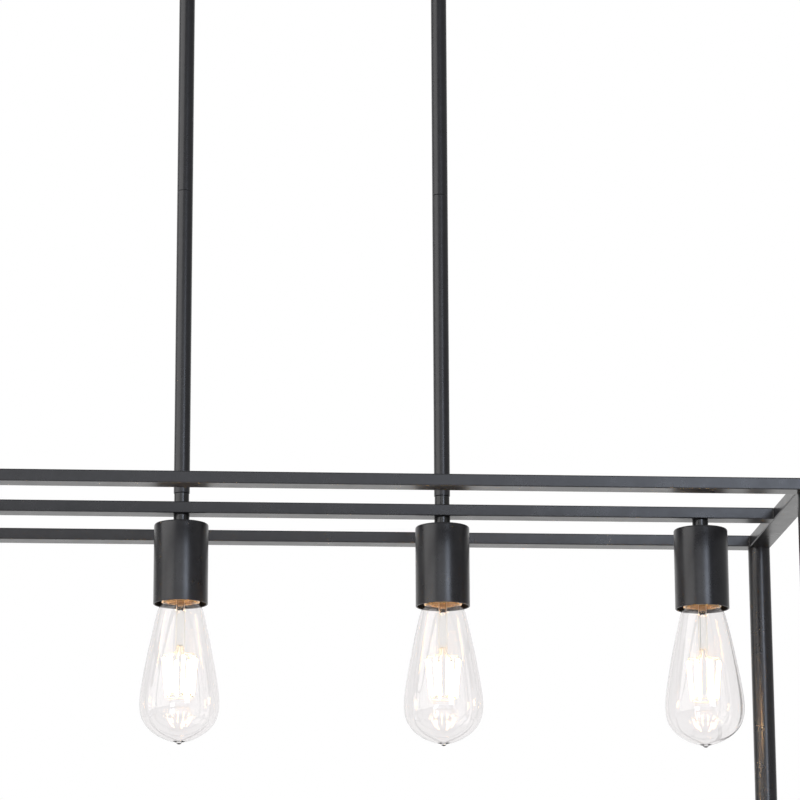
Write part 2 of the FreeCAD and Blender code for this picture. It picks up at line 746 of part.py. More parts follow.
# ---- Lamp cups and lamp holders ----


def make_cup_necks():
    return group("cup_necks", [
        sleeve(f"cup_neck_{lamp}", size.neck_diameter, thread_hole, size.neck_length,
               lamp_x[lamp], cup_top) for lamp in LAMPS])


def make_cup(lamp):
    name = f"socket_cup_{lamp}"
    body = new_body(name, lamp_x[lamp], 0, cup_rim)
    outline = new_sketch(body, name + "_outline")
    draw_circle(outline, size.cup_diameter)
    block = extrude(body, "Pad", outline, size.cup_height)

    def is_top_edge(edge):
        return all(abs(vertex.Z - size.cup_height.value) < CLOSE for vertex in edge.Vertexes)

    dress(body, "Fillet", block, size.cup_edge, is_top_edge)
    hollow = new_sketch(body, name + "_hollow")
    draw_circle(hollow, size.cup_diameter - size.cup_wall * 2)
    extrude(body, "Pocket", hollow, size.cup_height - size.cup_wall)
    hole = new_sketch(body, name + "_hole")
    draw_circle(hole, thread_hole)
    extrude(body, "Pocket", hole)
    return body


def make_lamp_holders():
    """Insulating bodies: a threaded top, a wiring space and a bore for the screw shell."""
    pieces = []
    shell_bore = size.cap_diameter + (size.cap_play + size.shell_wall + size.shell_play) * 2
    for lamp in LAMPS:
        name = f"lamp_holder_{lamp}"
        x = lamp_x[lamp]
        outside = cylinder(name + "_outside", size.holder_diameter, holder_top - cap_edge,
                           x, 0, cap_edge)
        thread = cylinder(name + "_thread", thread_hole, size.holder_cap,
                          x, 0, holder_top - size.holder_cap)
        wiring = cylinder(name + "_wiring", size.terminal_bore,
                          holder_top - size.holder_cap - web_top, x, 0, web_top)
        bore = cylinder(name + "_bore", shell_bore, shell_top - cap_edge, x, 0, cap_edge)
        pieces.append(cut(name, outside, thread, wiring, bore))
    return group("lamp_holders", pieces)


def make_screw_shells():
    pieces = []
    inner = size.cap_diameter + size.cap_play * 2
    outer = inner + size.shell_wall * 2
    bottom = cap_edge + size.shell_lift
    for lamp in LAMPS:
        name = f"screw_shell_{lamp}"
        x = lamp_x[lamp]
        outside = cylinder(name + "_outside", outer, shell_top - bottom, x, 0, bottom)
        inside = cylinder(name + "_inside", inner, shell_top - size.shell_wall - bottom,
                          x, 0, bottom)
        eye = cylinder(name + "_eye", size.shell_eye, shell_top - bottom, x, 0, bottom)
        pieces.append(cut(name, outside, inside, eye))
    return group("screw_shells", pieces)


def make_shell_contacts():
    bottom = tip_level + size.contact_gap
    return group("shell_contacts", [
        cylinder(f"contact_{lamp}", size.contact_diameter, shell_top - bottom,
                 lamp_x[lamp], 0, bottom) for lamp in LAMPS])


# ---- Bulbs ----


def make_bulb_tip(lamp):
    return cylinder(f"bulb_{lamp}_tip", size.tip_diameter, size.tip_height, lamp_x[lamp], 0, cap_flat)


def make_bulb_cap(lamp):
    """A thin screw cap with a tapered insulated end, open below for the glass."""
    name = f"bulb_{lamp}_cap"
    x = lamp_x[lamp]
    straight = size.cap_length - size.tip_height - size.cap_cone
    barrel = cylinder(name + "_barrel", size.cap_diameter, straight, x, 0, cap_edge)
    taper = cone(name + "_taper", size.cap_diameter, size.cap_top_diameter, size.cap_cone,
                 x, 0, cap_edge + straight)
    hollow = cylinder(name + "_hollow", size.cap_diameter - size.cap_wall * 2, size.cap_depth,
                      x, 0, cap_edge)
    return cut(name, fuse(name + "_outside", [barrel, taper]), hollow)


SHOULDER_PULL = 0.6


def bezier(*places):
    """A curve in the XZ plane, pulled by places given across and down from the cap's edge."""
    curve = Part.BezierCurve()
    curve.setPoles([Vector(across, 0, -drop) for across, drop in places])
    return curve.toShape()


def glass_side(inset, dome_end, tip):
    """Shoulder, flank, dome and tip of the glass, from the cap's edge down to the axis."""
    neck = size.glass_neck_diameter.value / 2 - inset
    shoulder = size.shoulder_diameter.value / 2 - inset
    flank = size.flank_diameter.value / 2 - inset
    belly = size.belly_diameter.value / 2 - inset
    root = size.pip_diameter.value / 2
    shoulder_drop, flank_drop = size.shoulder_drop.value, size.flank_drop.value
    belly_drop = size.belly_drop.value
    pull_across = shoulder - SHOULDER_PULL * (flank - shoulder)
    pull_drop = shoulder_drop - SHOULDER_PULL * (flank_drop - shoulder_drop)
    dome_pull = size.dome_drop.value - inset
    return [
        bezier((neck, 0), (neck + (shoulder - neck) / 3, shoulder_drop / 10),
               (pull_across, pull_drop), (shoulder, shoulder_drop)),
        bezier((shoulder, shoulder_drop), (flank, flank_drop),
               (belly, belly_drop - size.belly_lead.value), (belly, belly_drop)),
        bezier((belly, belly_drop), (belly, belly_drop + size.dome_lead.value),
               (belly, dome_pull), (root, dome_end)),
        bezier((root, dome_end), (root * 3 / 4, dome_end + (tip - dome_end) / 8),
               (root / 2, tip), (0, tip)),
    ]


def glass_solid():
    """The bulb's glass, open at its neck, with Z = 0 at the screw cap's edge."""
    wall = size.glass_wall.value
    tip = size.bulb_drop.value
    dome_end = tip - size.pip_height.value
    inner_tip = tip - size.pip_thickness.value
    lift = Vector(0, 0, size.glass_grip.value)
    outer_neck = Vector(size.glass_neck_diameter.value / 2, 0, 0)
    inner_neck = outer_neck - Vector(wall, 0, 0)
    edges = glass_side(0, dome_end, tip) + glass_side(wall, dome_end - wall, inner_tip)
    edges += [
        Part.makeLine(Vector(0, 0, -tip), Vector(0, 0, -inner_tip)),
        Part.makeLine(outer_neck, outer_neck + lift),
        Part.makeLine(inner_neck, inner_neck + lift),
        Part.makeLine(outer_neck + lift, inner_neck + lift),
    ]
    outline = Part.Wire(Part.sortEdges(edges)[0])
    return Part.Face(outline).revolve(Vector(), UP, 360)


def ring_point(circle, drop, index):
    angle = (index + 0.25) * 2 * math.pi / FILAMENTS
    return Vector(circle / 2 * math.cos(angle), circle / 2 * math.sin(angle), -drop)


def rod(start, end, diameter):
    return Part.makeCylinder(diameter / 2, (end - start).Length, start, end - start)


def filament_solid():
    """Glass foot and rod, support wires and filaments, with Z = 0 at the cap's edge."""
    wire = size.support_wire.value
    neck = size.glass_neck_diameter.value / 2 - size.glass_wall.value - size.thread_play.value
    rod_radius = size.mount_diameter.value / 2
    top, height = size.flare_lift.value, size.flare_height.value
    hub = Vector(0, 0, -size.mount_drop.value)
    pieces = [
        Part.makeCone(rod_radius, neck, height, Vector(0, 0, top - height)),
        Part.makeCylinder(rod_radius, top - hub.z, hub),
        Part.makeTorus(size.filament_end_circle.value / 2, wire / 2,
                       Vector(0, 0, -size.filament_end_drop.value)),
    ]
    for index in range(FILAMENTS):
        upper = ring_point(size.filament_top_circle.value, size.filament_top_drop.value, index)
        lower = ring_point(size.filament_end_circle.value, size.filament_end_drop.value, index)
        pieces.append(rod(hub, upper, wire))
        pieces.append(rod(upper, lower, size.filament_diameter.value))
    return pieces[0].multiFuse(pieces[1:])


def make_bulbs():
    glass, filaments = glass_solid(), filament_solid()
    pieces = []
    for lamp in LAMPS:
        x = lamp_x[lamp]
        pieces.append(make_bulb_tip(lamp))
        pieces.append(make_bulb_cap(lamp))
        pieces.append(free_shape(f"bulb_{lamp}_glass", glass.copy(), x, cap_edge))
        pieces.append(free_shape(f"bulb_{lamp}_filament", filaments.copy(), x, cap_edge))
    return pieces


# ---- Wiring ----


def point(x, y, z):
    return Vector(as_size(x).value, as_size(y).value, as_size(z).value)


def make_wiring():
    """From each swivel down its stem: one wire to the lamp below and one to the end lamp."""
    start = ball_level - size.wire_gap
    solids = []
    for side, _ in SIDES:
        near, far = stem_x[side], far_lamp_x[side]
        front, back = -size.wire_offset, size.wire_offset
        solids.append(wire_solid([point(near, front, start), point(near, front, web_top)]))
        route = [point(near, back, start), point(near, back, wire_level),
                 point(far, back, wire_level), point(far, back, web_top)]
        solids.append(wire_solid(route, size.wire_bend.value))
    return free_shape("wiring_harness", Part.makeCompound(solids))


def make_supply_leads():
    """From the wire nuts to just above each swivel's centre."""
    solids = []
    for side, x_sign in SIDES:
        for _, y_sign in ENDS:
            x, offset = stem_x[side], size.wire_offset * y_sign
            reach = size.wire_nut_reach * y_sign
            lead_end = size.wire_nut_mouth - size.wire_nut_depth
            solids.append(wire_solid([
                point(x, offset, ball_level + size.wire_gap), point(x, offset, lead_level),
                point(size.lead_turn * x_sign, reach, lead_level),
                point(lead_end * x_sign, reach, lead_level)]))
    return free_shape("supply_leads", Part.makeCompound(solids))


def make_wire_nuts():
    pieces = []
    for side, x_sign in SIDES:
        for end, y_sign in ENDS:
            name = f"wire_nut_{side}_{end}"
            shell = cone(name + "_shell", size.wire_nut_diameter, size.wire_nut_end_diameter,
                         size.wire_nut_length)
            bore = cylinder(name + "_bore", size.wire_nut_bore, size.wire_nut_depth)
            for item in (shell, bore):
                item.Placement = FreeCAD.Placement(Vector(), Rotation(Vector(0, -x_sign, 0), 90))
                bind(item, "Placement.Base.x", size.wire_nut_mouth * x_sign)
                bind(item, "Placement.Base.y", size.wire_nut_reach * y_sign)
                bind(item, "Placement.Base.z", lead_level)
            pieces.append(cut(name, shell, bore))
    return group("wire_nuts", pieces)


# ---- The whole pendant ----

nodes = [make_canopy(), make_strap(), make_studs(), make_cap_nuts(), make_ground_screw()]
nodes += [make_swivel_socket(side) for side, _ in SIDES]
nodes += [make_lock_nuts(), make_supply_leads(), make_wire_nuts()]
nodes += [make_swivel_ball(side) for side, _ in SIDES]
nodes += make_stems()
nodes += [make_stem_couplers(), make_rail_spacers(), make_through_nipples(), make_end_nipples()]
nodes += [make_nipple_nuts(), make_middle_rail()]
nodes += make_ring("top", rail_middle)
nodes += make_posts()
nodes += make_ring("bottom", low_rail_middle)
nodes += [make_cup_necks()]
nodes += [make_cup(lamp) for lamp in LAMPS]
nodes += [make_lamp_holders(), make_screw_shells(), make_shell_contacts(), make_wiring()]
nodes += make_bulbs()
doc.recompute()

for item in doc.Objects:
    if "Invalid" in item.State or "Error" in item.State:
        raise RuntimeError(f"{item.Label} did not compute: {item.State}")
for node in nodes:
    if node.Shape.isNull() or not node.Shape.isValid() or not node.Shape.Solids:
        raise RuntimeError(f"{node.Label} has no valid solid")

os.makedirs("parts", exist_ok=True)
for node in nodes:
    node.Shape.exportStep(f"parts/{node.Label}.step")
print(len(nodes), "nodes,", sum(len(node.Shape.Solids) for node in nodes), "solids")
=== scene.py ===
# %% [markdown]
# # A linear island pendant
#
# Four clear filament bulbs hang in a row from the middle rail of an open box frame of black steel
# tube. Two rods carry the frame from a canopy on the ceiling. This script adds what a draughtsman's
# model lacks: screw threads, blown glass, glowing filaments, weld beads, and a finish for every
# surface.

import json
import math

import bpy
from mathutils import Matrix, Vector


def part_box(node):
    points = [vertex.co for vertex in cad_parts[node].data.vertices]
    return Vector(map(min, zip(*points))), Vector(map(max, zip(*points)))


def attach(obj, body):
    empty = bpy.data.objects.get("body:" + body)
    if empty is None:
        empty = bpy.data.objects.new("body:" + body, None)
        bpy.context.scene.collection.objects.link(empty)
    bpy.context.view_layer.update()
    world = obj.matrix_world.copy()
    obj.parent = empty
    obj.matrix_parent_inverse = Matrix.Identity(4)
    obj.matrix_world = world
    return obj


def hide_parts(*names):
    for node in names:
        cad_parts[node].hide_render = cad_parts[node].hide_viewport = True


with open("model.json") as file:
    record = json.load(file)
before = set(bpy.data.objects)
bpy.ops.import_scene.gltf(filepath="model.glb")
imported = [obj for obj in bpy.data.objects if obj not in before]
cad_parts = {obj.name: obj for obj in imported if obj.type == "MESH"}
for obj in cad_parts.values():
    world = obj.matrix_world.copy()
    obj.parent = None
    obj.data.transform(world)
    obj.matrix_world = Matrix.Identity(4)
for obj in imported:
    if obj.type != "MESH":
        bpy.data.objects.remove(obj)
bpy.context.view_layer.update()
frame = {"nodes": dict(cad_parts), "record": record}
scene = bpy.context.scene
nodes = frame["nodes"]
MM = 0.001
LAMPS = (1, 2, 3, 4)
print("CAD nodes:", len(nodes))

# %% [markdown]
# ## Measures from the frame
#
# A fitter takes sizes from the metalwork before making the parts that go in it.

# %% Places of the lamps
lamp_x = {lamp: sum(corner.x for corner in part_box(f"socket_cup_{lamp}")) / 2 for lamp in LAMPS}
cap_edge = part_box("bulb_1_cap")[0].z
print("lamps at", {lamp: round(x, 4) for lamp, x in lamp_x.items()})
print("bulb caps from", round(cap_edge, 4))

# %% [markdown]
# ## Camera
#
# The picture was taken from well back with a long lens, from a little left of the middle, and
# looking slightly up at the lamps. Such a view keeps the rails nearly parallel. The place and the
# turns below were found by lining up the rails, rods, cups and bulbs with the picture.

# %% Make the camera
CAMERA_PLACE = Vector((-0.12931, -2.74413, -1.15595))
CAMERA_UP_TILT = 0.2398
CAMERA_RIGHT_TURN = 0.0732
CAMERA_ROLL = -0.0042
SENSOR_WIDTH = 36.0
LENS = 155.3

pitch, yaw = CAMERA_UP_TILT, CAMERA_RIGHT_TURN
forward = Vector((math.cos(pitch) * math.sin(yaw), math.cos(pitch) * math.cos(yaw),
                  math.sin(pitch)))
level_right = Vector((math.cos(yaw), -math.sin(yaw), 0))
level_up = level_right.cross(forward)
right = level_right * math.cos(CAMERA_ROLL) + level_up * math.sin(CAMERA_ROLL)
up = right.cross(forward)
camera_data = bpy.data.cameras.new("camera")
camera_data.lens = LENS
camera_data.sensor_width = SENSOR_WIDTH
camera_data.clip_end = 60
camera = bpy.data.objects.new("camera", camera_data)
scene.collection.objects.link(camera)
turn = Matrix((right, up, -forward)).transposed().to_4x4()
camera.matrix_world = Matrix.Translation(CAMERA_PLACE) @ turn
scene.camera = camera
print("camera looks along", [round(value, 3) for value in forward])

# %% [markdown]
# ## Material helpers
#
# A material is a small graph of nodes. These helpers keep each recipe short: one makes an empty
# material with its main shader, one adds a node and plugs in its inputs, and the others give the
# patterns that most finishes share. All patterns read Object coordinates, which are metres here.

# %% Helpers for node graphs


def new_material(name):
    """A material with its node tree and its main shader."""
    material = bpy.data.materials.new(name)
    material.use_nodes = True
    tree = material.node_tree
    return material, tree, tree.nodes["Principled BSDF"]


def add(tree, kind, links=None, **settings):
    """Adds a node. links gives sockets or plain values for its inputs, by name or by number."""
    item = tree.nodes.new(kind)
    for name, value in settings.items():
        setattr(item, name, value)
    for name, value in (links or {}).items():
        if isinstance(value, bpy.types.NodeSocket):
            tree.links.new(value, item.inputs[name])
        else:
            item.inputs[name].default_value = value
    return item


def place(tree, stretch=(1, 1, 1)):
    """Object coordinates, scaled along each axis."""
    where = add(tree, "ShaderNodeTexCoord")
    mapping = add(tree, "ShaderNodeMapping", {"Vector": where.outputs["Object"], "Scale": stretch})
    return mapping.outputs["Vector"]


def noise(tree, scale, detail=3.0, roughness=0.55, stretch=(1, 1, 1)):
    """Cloudy noise from 0 to 1. A scale of 200 gives patches of about 1 / 200 metre, or 5 mm."""
    texture = add(tree, "ShaderNodeTexNoise", {"Vector": place(tree, stretch), "Scale": scale,
                                               "Detail": detail, "Roughness": roughness})
    return texture.outputs["Fac"]


def ramp(tree, value, *stops):
    """A colour ramp of (position, colour) stops."""
    item = add(tree, "ShaderNodeValToRGB", {"Fac": value})
    item.color_ramp.elements[0].position, item.color_ramp.elements[0].color = stops[0]
    item.color_ramp.elements[1].position, item.color_ramp.elements[1].color = stops[-1]
    for position, colour in stops[1:-1]:
        item.color_ramp.elements.new(position).color = colour
    return item.outputs["Color"]


NOISE_LOW, NOISE_HIGH = 0.3, 0.7


def spread(tree, value, low, high):
    """Makes noise, which mostly stays between NOISE_LOW and NOISE_HIGH, run from low to high."""
    item = add(tree, "ShaderNodeMapRange", {"Value": value, "From Min": NOISE_LOW,
                                            "From Max": NOISE_HIGH, "To Min": low, "To Max": high})
    return item.outputs["Result"]


def tinted(tree, value, low, high):
    """Like spread, but between two colours."""
    return ramp(tree, value, (NOISE_LOW, low), (NOISE_HIGH, high))


def bump(tree, shader, height, strength, depth):
    """Raises the surface in the light only, by up to depth in metres."""
    item = add(tree, "ShaderNodeBump", {"Height": height, "Strength": strength, "Distance": depth})
    tree.links.new(item.outputs["Normal"], shader.inputs["Normal"])


def grey(level, blue=0.0):
    return (level, level, level + blue, 1)


# %% [markdown]
# ## Black powder coat
#
# Tube, rods and cups of such lamps are mostly steel, dusted with black powder and baked. The coat
# is satin: its gloss is a soft sheen, with a fine orange-peel texture and tiny changes in how dull
# it is. The colour stays very dark, and the shapes read from reflections along their edges.

# %% Make the powder coat


def make_black_coat():
    """The satin coat of tubes, rods and cups."""
    material, tree, shader = new_material("black_powder_coat")
    mottle = noise(tree, 160, detail=4)
    tree.links.new(tinted(tree, mottle, (0.0080, 0.0080, 0.0100, 1), (0.0130, 0.0130, 0.0160, 1)),
                   shader.inputs["Base Color"])
    tree.links.new(spread(tree, noise(tree, 60), 0.26, 0.32), shader.inputs["Roughness"])
    shader.inputs["IOR"].default_value = 1.53
    peel = noise(tree, 700, detail=2)
    bump(tree, shader, peel, 0.15, 0.02 * MM)
    return material


def make_black_gloss():
    """The shinier coat of the small turned parts and the weld beads."""
    material, tree, shader = new_material("black_gloss_coat")
    tree.links.new(tinted(tree, noise(tree, 300), grey(0.010), grey(0.015, 0.001)),
                   shader.inputs["Base Color"])
    tree.links.new(spread(tree, noise(tree, 500), 0.14, 0.22), shader.inputs["Roughness"])
    bump(tree, shader, noise(tree, 1400, detail=2), 0.08, 0.04 * MM)
    return material


black_coat = make_black_coat()
black_gloss = make_black_gloss()
print("made", black_coat.name, black_gloss.name)

# %% [markdown]
# ## Plain metals
#
# Hidden hardware is not painted. Strap, nuts and threaded tubes are zinc plated, which gives a cool
# grey with cloudy patches. The screw shells and the bulbs' caps are pressed brass sheet. Both are
# fully metallic, so their colour is the colour of their reflections.

# %% Make zinc, green zinc, brass and solder


def make_metal(name, dark, light, dull, shiny, patch, streak=(1, 1, 1)):
    """A metal whose colour drifts from dark to light in patches of about 1 / patch metres."""
    material, tree, shader = new_material(name)
    clouds = noise(tree, patch, detail=5, stretch=streak)
    tree.links.new(ramp(tree, clouds, (0.32, dark), (0.68, light)), shader.inputs["Base Color"])
    shader.inputs["Metallic"].default_value = 1.0
    handling = noise(tree, patch * 4, detail=4, stretch=streak)
    tree.links.new(spread(tree, handling, shiny, dull), shader.inputs["Roughness"])
    bump(tree, shader, noise(tree, patch * 12, detail=2), 0.15, 0.03 * MM)
    return material


zinc = make_metal("zinc_plate", (0.48, 0.49, 0.50, 1), (0.66, 0.66, 0.65, 1), 0.46, 0.26, 90)
green_zinc = make_metal("green_zinc", (0.03, 0.20, 0.06, 1), (0.07, 0.36, 0.12, 1), 0.45, 0.28, 300)
brass = make_metal("brass", (0.62, 0.42, 0.16, 1), (0.83, 0.63, 0.30, 1), 0.38, 0.20, 180)
solder = make_metal("solder", (0.40, 0.40, 0.41, 1), (0.62, 0.62, 0.62, 1), 0.55, 0.30, 500)
wire_metal = make_metal("nickel_wire", (0.66, 0.62, 0.52, 1), (0.82, 0.79, 0.70, 1), 0.40, 0.25,
                        700)
print("made", zinc.name, green_zinc.name, brass.name, solder.name, wire_metal.name)

# %% [markdown]
# ## Insulators
#
# The lamp holders are glazed porcelain: off-white, very smooth, with faint brown specks under the
# glaze. The leads are plastic, black for the live wire at the front and white for the neutral
# behind it, so one material picks its colour by which side of the middle a point lies on. The wire
# nuts are moulded plastic, the black ring round a bulb's tip is fused glass, and a tan paste
# cements the glass into its cap.

# %% Make porcelain, insulation, plastic, paste and fused glass


def make_porcelain():
    material, tree, shader = new_material("porcelain")
    specks = noise(tree, 700, detail=5, roughness=0.7)
    colour = ramp(tree, specks, (0.28, (0.42, 0.27, 0.15, 1)), (0.40, (0.72, 0.62, 0.47, 1)),
                  (0.75, (0.80, 0.73, 0.61, 1)))
    tree.links.new(colour, shader.inputs["Base Color"])
    tree.links.new(spread(tree, noise(tree, 200), 0.12, 0.22), shader.inputs["Roughness"])
    bump(tree, shader, noise(tree, 260), 0.2, 0.1 * MM)
    return material


def make_insulation():
    material, tree, shader = new_material("wire_insulation")
    side = add(tree, "ShaderNodeSeparateXYZ", {"Vector": place(tree)}).outputs["Y"]
    behind = add(tree, "ShaderNodeMath", {0: side, 1: 0.0}, operation="GREATER_THAN")
    scuffs = noise(tree, 600, detail=4)
    black = tinted(tree, scuffs, grey(0.016), grey(0.035))
    white = tinted(tree, scuffs, grey(0.60), grey(0.74))
    colour = add(tree, "ShaderNodeMix", {"Factor": behind.outputs["Value"], "A": black, "B": white},
                 data_type="RGBA")
    tree.links.new(colour.outputs["Result"], shader.inputs["Base Color"])
    tree.links.new(spread(tree, scuffs, 0.35, 0.5), shader.inputs["Roughness"])
    return material


def make_moulded(name, low, high, rough):
    """A moulded or poured stuff, whose colour drifts from low to high."""
    material, tree, shader = new_material(name)
    clouds = noise(tree, 320, detail=4)
    tree.links.new(tinted(tree, clouds, low, high), shader.inputs["Base Color"])
    tree.links.new(spread(tree, noise(tree, 900), rough - 0.06, rough + 0.06),
                   shader.inputs["Roughness"])
    bump(tree, shader, noise(tree, 2600, detail=2), 0.2, 0.03 * MM)
    return material


porcelain = make_porcelain()
insulation = make_insulation()
wire_nut_plastic = make_moulded("wire_nut_plastic", (0.55, 0.16, 0.02, 1), (0.72, 0.24, 0.03, 1),
                                0.4)
cement_paste = make_moulded("cement_paste", (0.50, 0.37, 0.23, 1), (0.66, 0.52, 0.35, 1), 0.8)
cap_insulator = make_moulded("cap_insulator", (0.006, 0.006, 0.008, 1), (0.014, 0.013, 0.016, 1),
                             0.2)
print("made", porcelain.name, insulation.name, wire_nut_plastic.name, cement_paste.name,
      cap_insulator.name)

# %% [markdown]
# ## Glass and light
#
# A bulb's glass is blown thin, so it hardly tints what is behind it. It shows by its darker
# outline and by bright streaks from the studio lamps. Light has to pass through the wall to reach
# the metal, so for shadow rays the same glass is nearly clear and bends nothing. The rod inside
# gets a lower index of refraction than real glass has, which keeps it as faint as in the picture.
# The filaments glow far brighter than white paper: the picture clips them to white, and their warm
# colour is left in what they light and in their reflections.

# %% Make clear glass and the glowing filament


def make_clear_glass(name, tint, bend):
    """Clear glass with faint upright ripples. bend is its index of refraction."""
    material, tree, shader = new_material(name)
    output = tree.nodes["Material Output"]
    tree.nodes.remove(shader)
    glass = add(tree, "ShaderNodeBsdfGlass", {"Color": tint, "Roughness": 0.0, "IOR": bend})
    ripple = noise(tree, 45, detail=2, stretch=(1, 1, 0.3))
    wave = add(tree, "ShaderNodeBump", {"Height": ripple, "Strength": 0.15, "Distance": 0.4 * MM})
    tree.links.new(wave.outputs["Normal"], glass.inputs["Normal"])
    clear = add(tree, "ShaderNodeBsdfTransparent", {"Color": (0.94, 0.93, 0.92, 1)})
    path = add(tree, "ShaderNodeLightPath")
    mix = add(tree, "ShaderNodeMixShader", {"Fac": path.outputs["Is Shadow Ray"],
                                            1: glass.outputs["BSDF"], 2: clear.outputs["BSDF"]})
    tree.links.new(mix.outputs["Shader"], output.inputs["Surface"])
    return material


GLOW = 40.0


def make_glow(strength):
    material, tree, shader = new_material("lit_filament")
    grain = noise(tree, 2500, detail=3)
    colour = tinted(tree, grain, (1.0, 0.57, 0.25, 1), (1.0, 0.67, 0.33, 1))
    tree.links.new(colour, shader.inputs["Emission Color"])
    tree.links.new(colour, shader.inputs["Base Color"])
    shader.inputs["Emission Strength"].default_value = strength
    shader.inputs["Roughness"].default_value = 0.6
    return material


bulb_glass = make_clear_glass("bulb_glass", (0.966, 0.960, 0.960, 1), 1.45)
mount_glass = make_clear_glass("mount_glass", (0.98, 0.98, 0.97, 1), 1.15)
lit_filament = make_glow(GLOW)
print("made", bulb_glass.name, mount_glass.name, lit_filament.name)

# %% [markdown]
# ## Mesh helpers
#
# Most small parts of a lamp are round, because they are turned, spun or drawn. One helper spins an
# outline round the upright axis, one stretches a skin over a row of rings, and one runs a round
# wire along points. Each gives a shape, a pair of corner and face lists in metres, so that shapes
# can be moved, copied and put together before they become one mesh. Every shell is turned so that
# its faces point outwards.

# %% Helpers for shapes


def spin(outline, sides=64):
    """Spins an outline of (radius, height) points in millimetres, from the axis or round a ring."""
    corners, faces, rings = [], [], []
    for radius, height in outline:
        first = len(corners)
        if radius == 0:
            rings.append([first] * sides)
            corners.append((0, 0, height * MM))
            continue
        rings.append(list(range(first, first + sides)))
        for step in range(sides):
            angle = 2 * math.pi * step / sides
            corners.append((radius * MM * math.cos(angle), radius * MM * math.sin(angle),
                            height * MM))
    pairs = list(zip(rings, rings[1:]))
    if outline[0][0] != 0:
        pairs.append((rings[-1], rings[0]))
    for low, high in pairs:
        for step in range(sides):
            after = (step + 1) % sides
            face = list(dict.fromkeys([low[step], low[after], high[after], high[step]]))
            if len(face) > 2:
                faces.append(face)
    return corners, faces


def plain_disc(radius, low, high, sides, hole=0):
    """A flat disc or washer in millimetres."""
    return spin([(hole, low), (radius, low), (radius, high), (hole, high)], sides)


def loft(rings):
    """A closed skin over rings of points in millimetres, with as many points in each ring."""
    sides, last = len(rings[0]), len(rings) - 1
    corners = [(x * MM, y * MM, z * MM) for ring in rings for x, y, z in ring]
    faces = []
    for low in range(0, last * sides, sides):
        for step in range(sides):
            after = (step + 1) % sides
            faces.append([low + step, low + after, low + sides + after, low + sides + step])
    faces.append(list(range(sides))[::-1])
    faces.append(list(range(last * sides, (last + 1) * sides)))
    return corners, faces


def run_wire(points, radius, sides=8):
    """A round wire along points in millimetres, closed at both ends."""
    line = [Vector(point) for point in points]
    side = (line[1] - line[0]).orthogonal()
    turns = [2 * math.pi * step / sides for step in range(sides)]
    rings = []
    for index, point in enumerate(line):
        way = (line[min(index + 1, len(line) - 1)] - line[max(index - 1, 0)]).normalized()
        side = (side - way * side.dot(way)).normalized()
        across = way.cross(side)
        rings.append([point + (side * math.cos(turn) + across * math.sin(turn)) * radius
                      for turn in turns])
    return loft(rings)


def moved(shape, x=0.0, y=0.0, z=0.0, turn=None):
    """A copy of the shape, turned first and then moved, in metres."""
    corners, faces = shape
    if turn is not None:
        corners = [turn @ Vector(corner) for corner in corners]
    return [(corner[0] + x, corner[1] + y, corner[2] + z) for corner in corners], faces


def at_lamps(lamps, *shapes):
    """Copies of shapes, moved from the origin to each lamp's axis at its cap's lower edge."""
    return [moved(shape, lamp_x[lamp], 0, cap_edge) for lamp in lamps for shape in shapes]


def shape_of(mesh):
    """The corners and faces of a finished mesh."""
    return ([tuple(vertex.co) for vertex in mesh.vertices],
            [list(face.vertices) for face in mesh.polygons])


def volume_of(corners, faces):
    """The volume inside a closed shell, below 0 where its faces point inwards."""
    total = 0.0
    for face in faces:
        first = Vector(corners[face[0]])
        for second, third in zip(face[1:], face[2:]):
            total += first.dot(Vector(corners[second]).cross(Vector(corners[third])))
    return total / 6


def add_piece(name, shapes, body, material, replaced=(), crease=40):
    """Puts shapes together as one piece of the object, which rides on a body."""
    corners, faces = [], []
    for new_corners, new_faces in shapes:
        if volume_of(new_corners, new_faces) < 0:
            new_faces = [face[::-1] for face in new_faces]
        faces += [[index + len(corners) for index in face] for face in new_faces]
        corners += new_corners
    mesh = bpy.data.meshes.new(name)
    mesh.from_pydata(corners, [], faces)
    mesh.shade_smooth()
    mesh.set_sharp_from_angle(angle=math.radians(crease))
    mesh.materials.append(material)
    piece = bpy.data.objects.new(name, mesh)
    scene.collection.objects.link(piece)
    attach(piece, body)
    if replaced:
        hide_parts(*replaced)
    print(name, len(faces), "faces")


# %% [markdown]
# ## Growing repeats with Geometry Nodes
#
# Where one small shape is repeated, or a surface follows a rule, a node tree grows it. The first
# tree sets copies round a circle and turns each to face outwards, for filaments, ribs and
# knurling. The second sets copies along a line with a little chance in their turn and size, for the
# ripples of a weld. The third bends a flat grid into a screw thread: its radius is a wave that
# climbs one pitch in each turn. `grow` sets a tree's inputs, keeps the result as a plain shape and
# throws the modifier away.

# %% Helpers for trees


def new_tree(name, inputs):
    """An empty tree with named inputs, given as {name: (kind, default)}."""
    tree = bpy.data.node_groups.new(name, "GeometryNodeTree")
    tree.is_modifier = True
    tree.interface.new_socket("Geometry", in_out="OUTPUT", socket_type="NodeSocketGeometry")
    for label, (kind, default) in inputs.items():
        socket = tree.interface.new_socket(label, in_out="INPUT", socket_type=f"NodeSocket{kind}")
        if default is not None:
            socket.default_value = default
    return tree, tree.nodes.new("NodeGroupInput").outputs


def close_tree(tree, geometry, material):
    real = add(tree, "GeometryNodeRealizeInstances", {"Geometry": geometry})
    done = add(tree, "GeometryNodeSetMaterial", {"Geometry": real.outputs[0], "Material": material})
    end = tree.nodes.new("NodeGroupOutput")
    tree.links.new(done.outputs[0], end.inputs["Geometry"])


def sum_up(tree, operation, first, second=0.0):
    return add(tree, "ShaderNodeMath", {0: first, 1: second}, operation=operation).outputs["Value"]


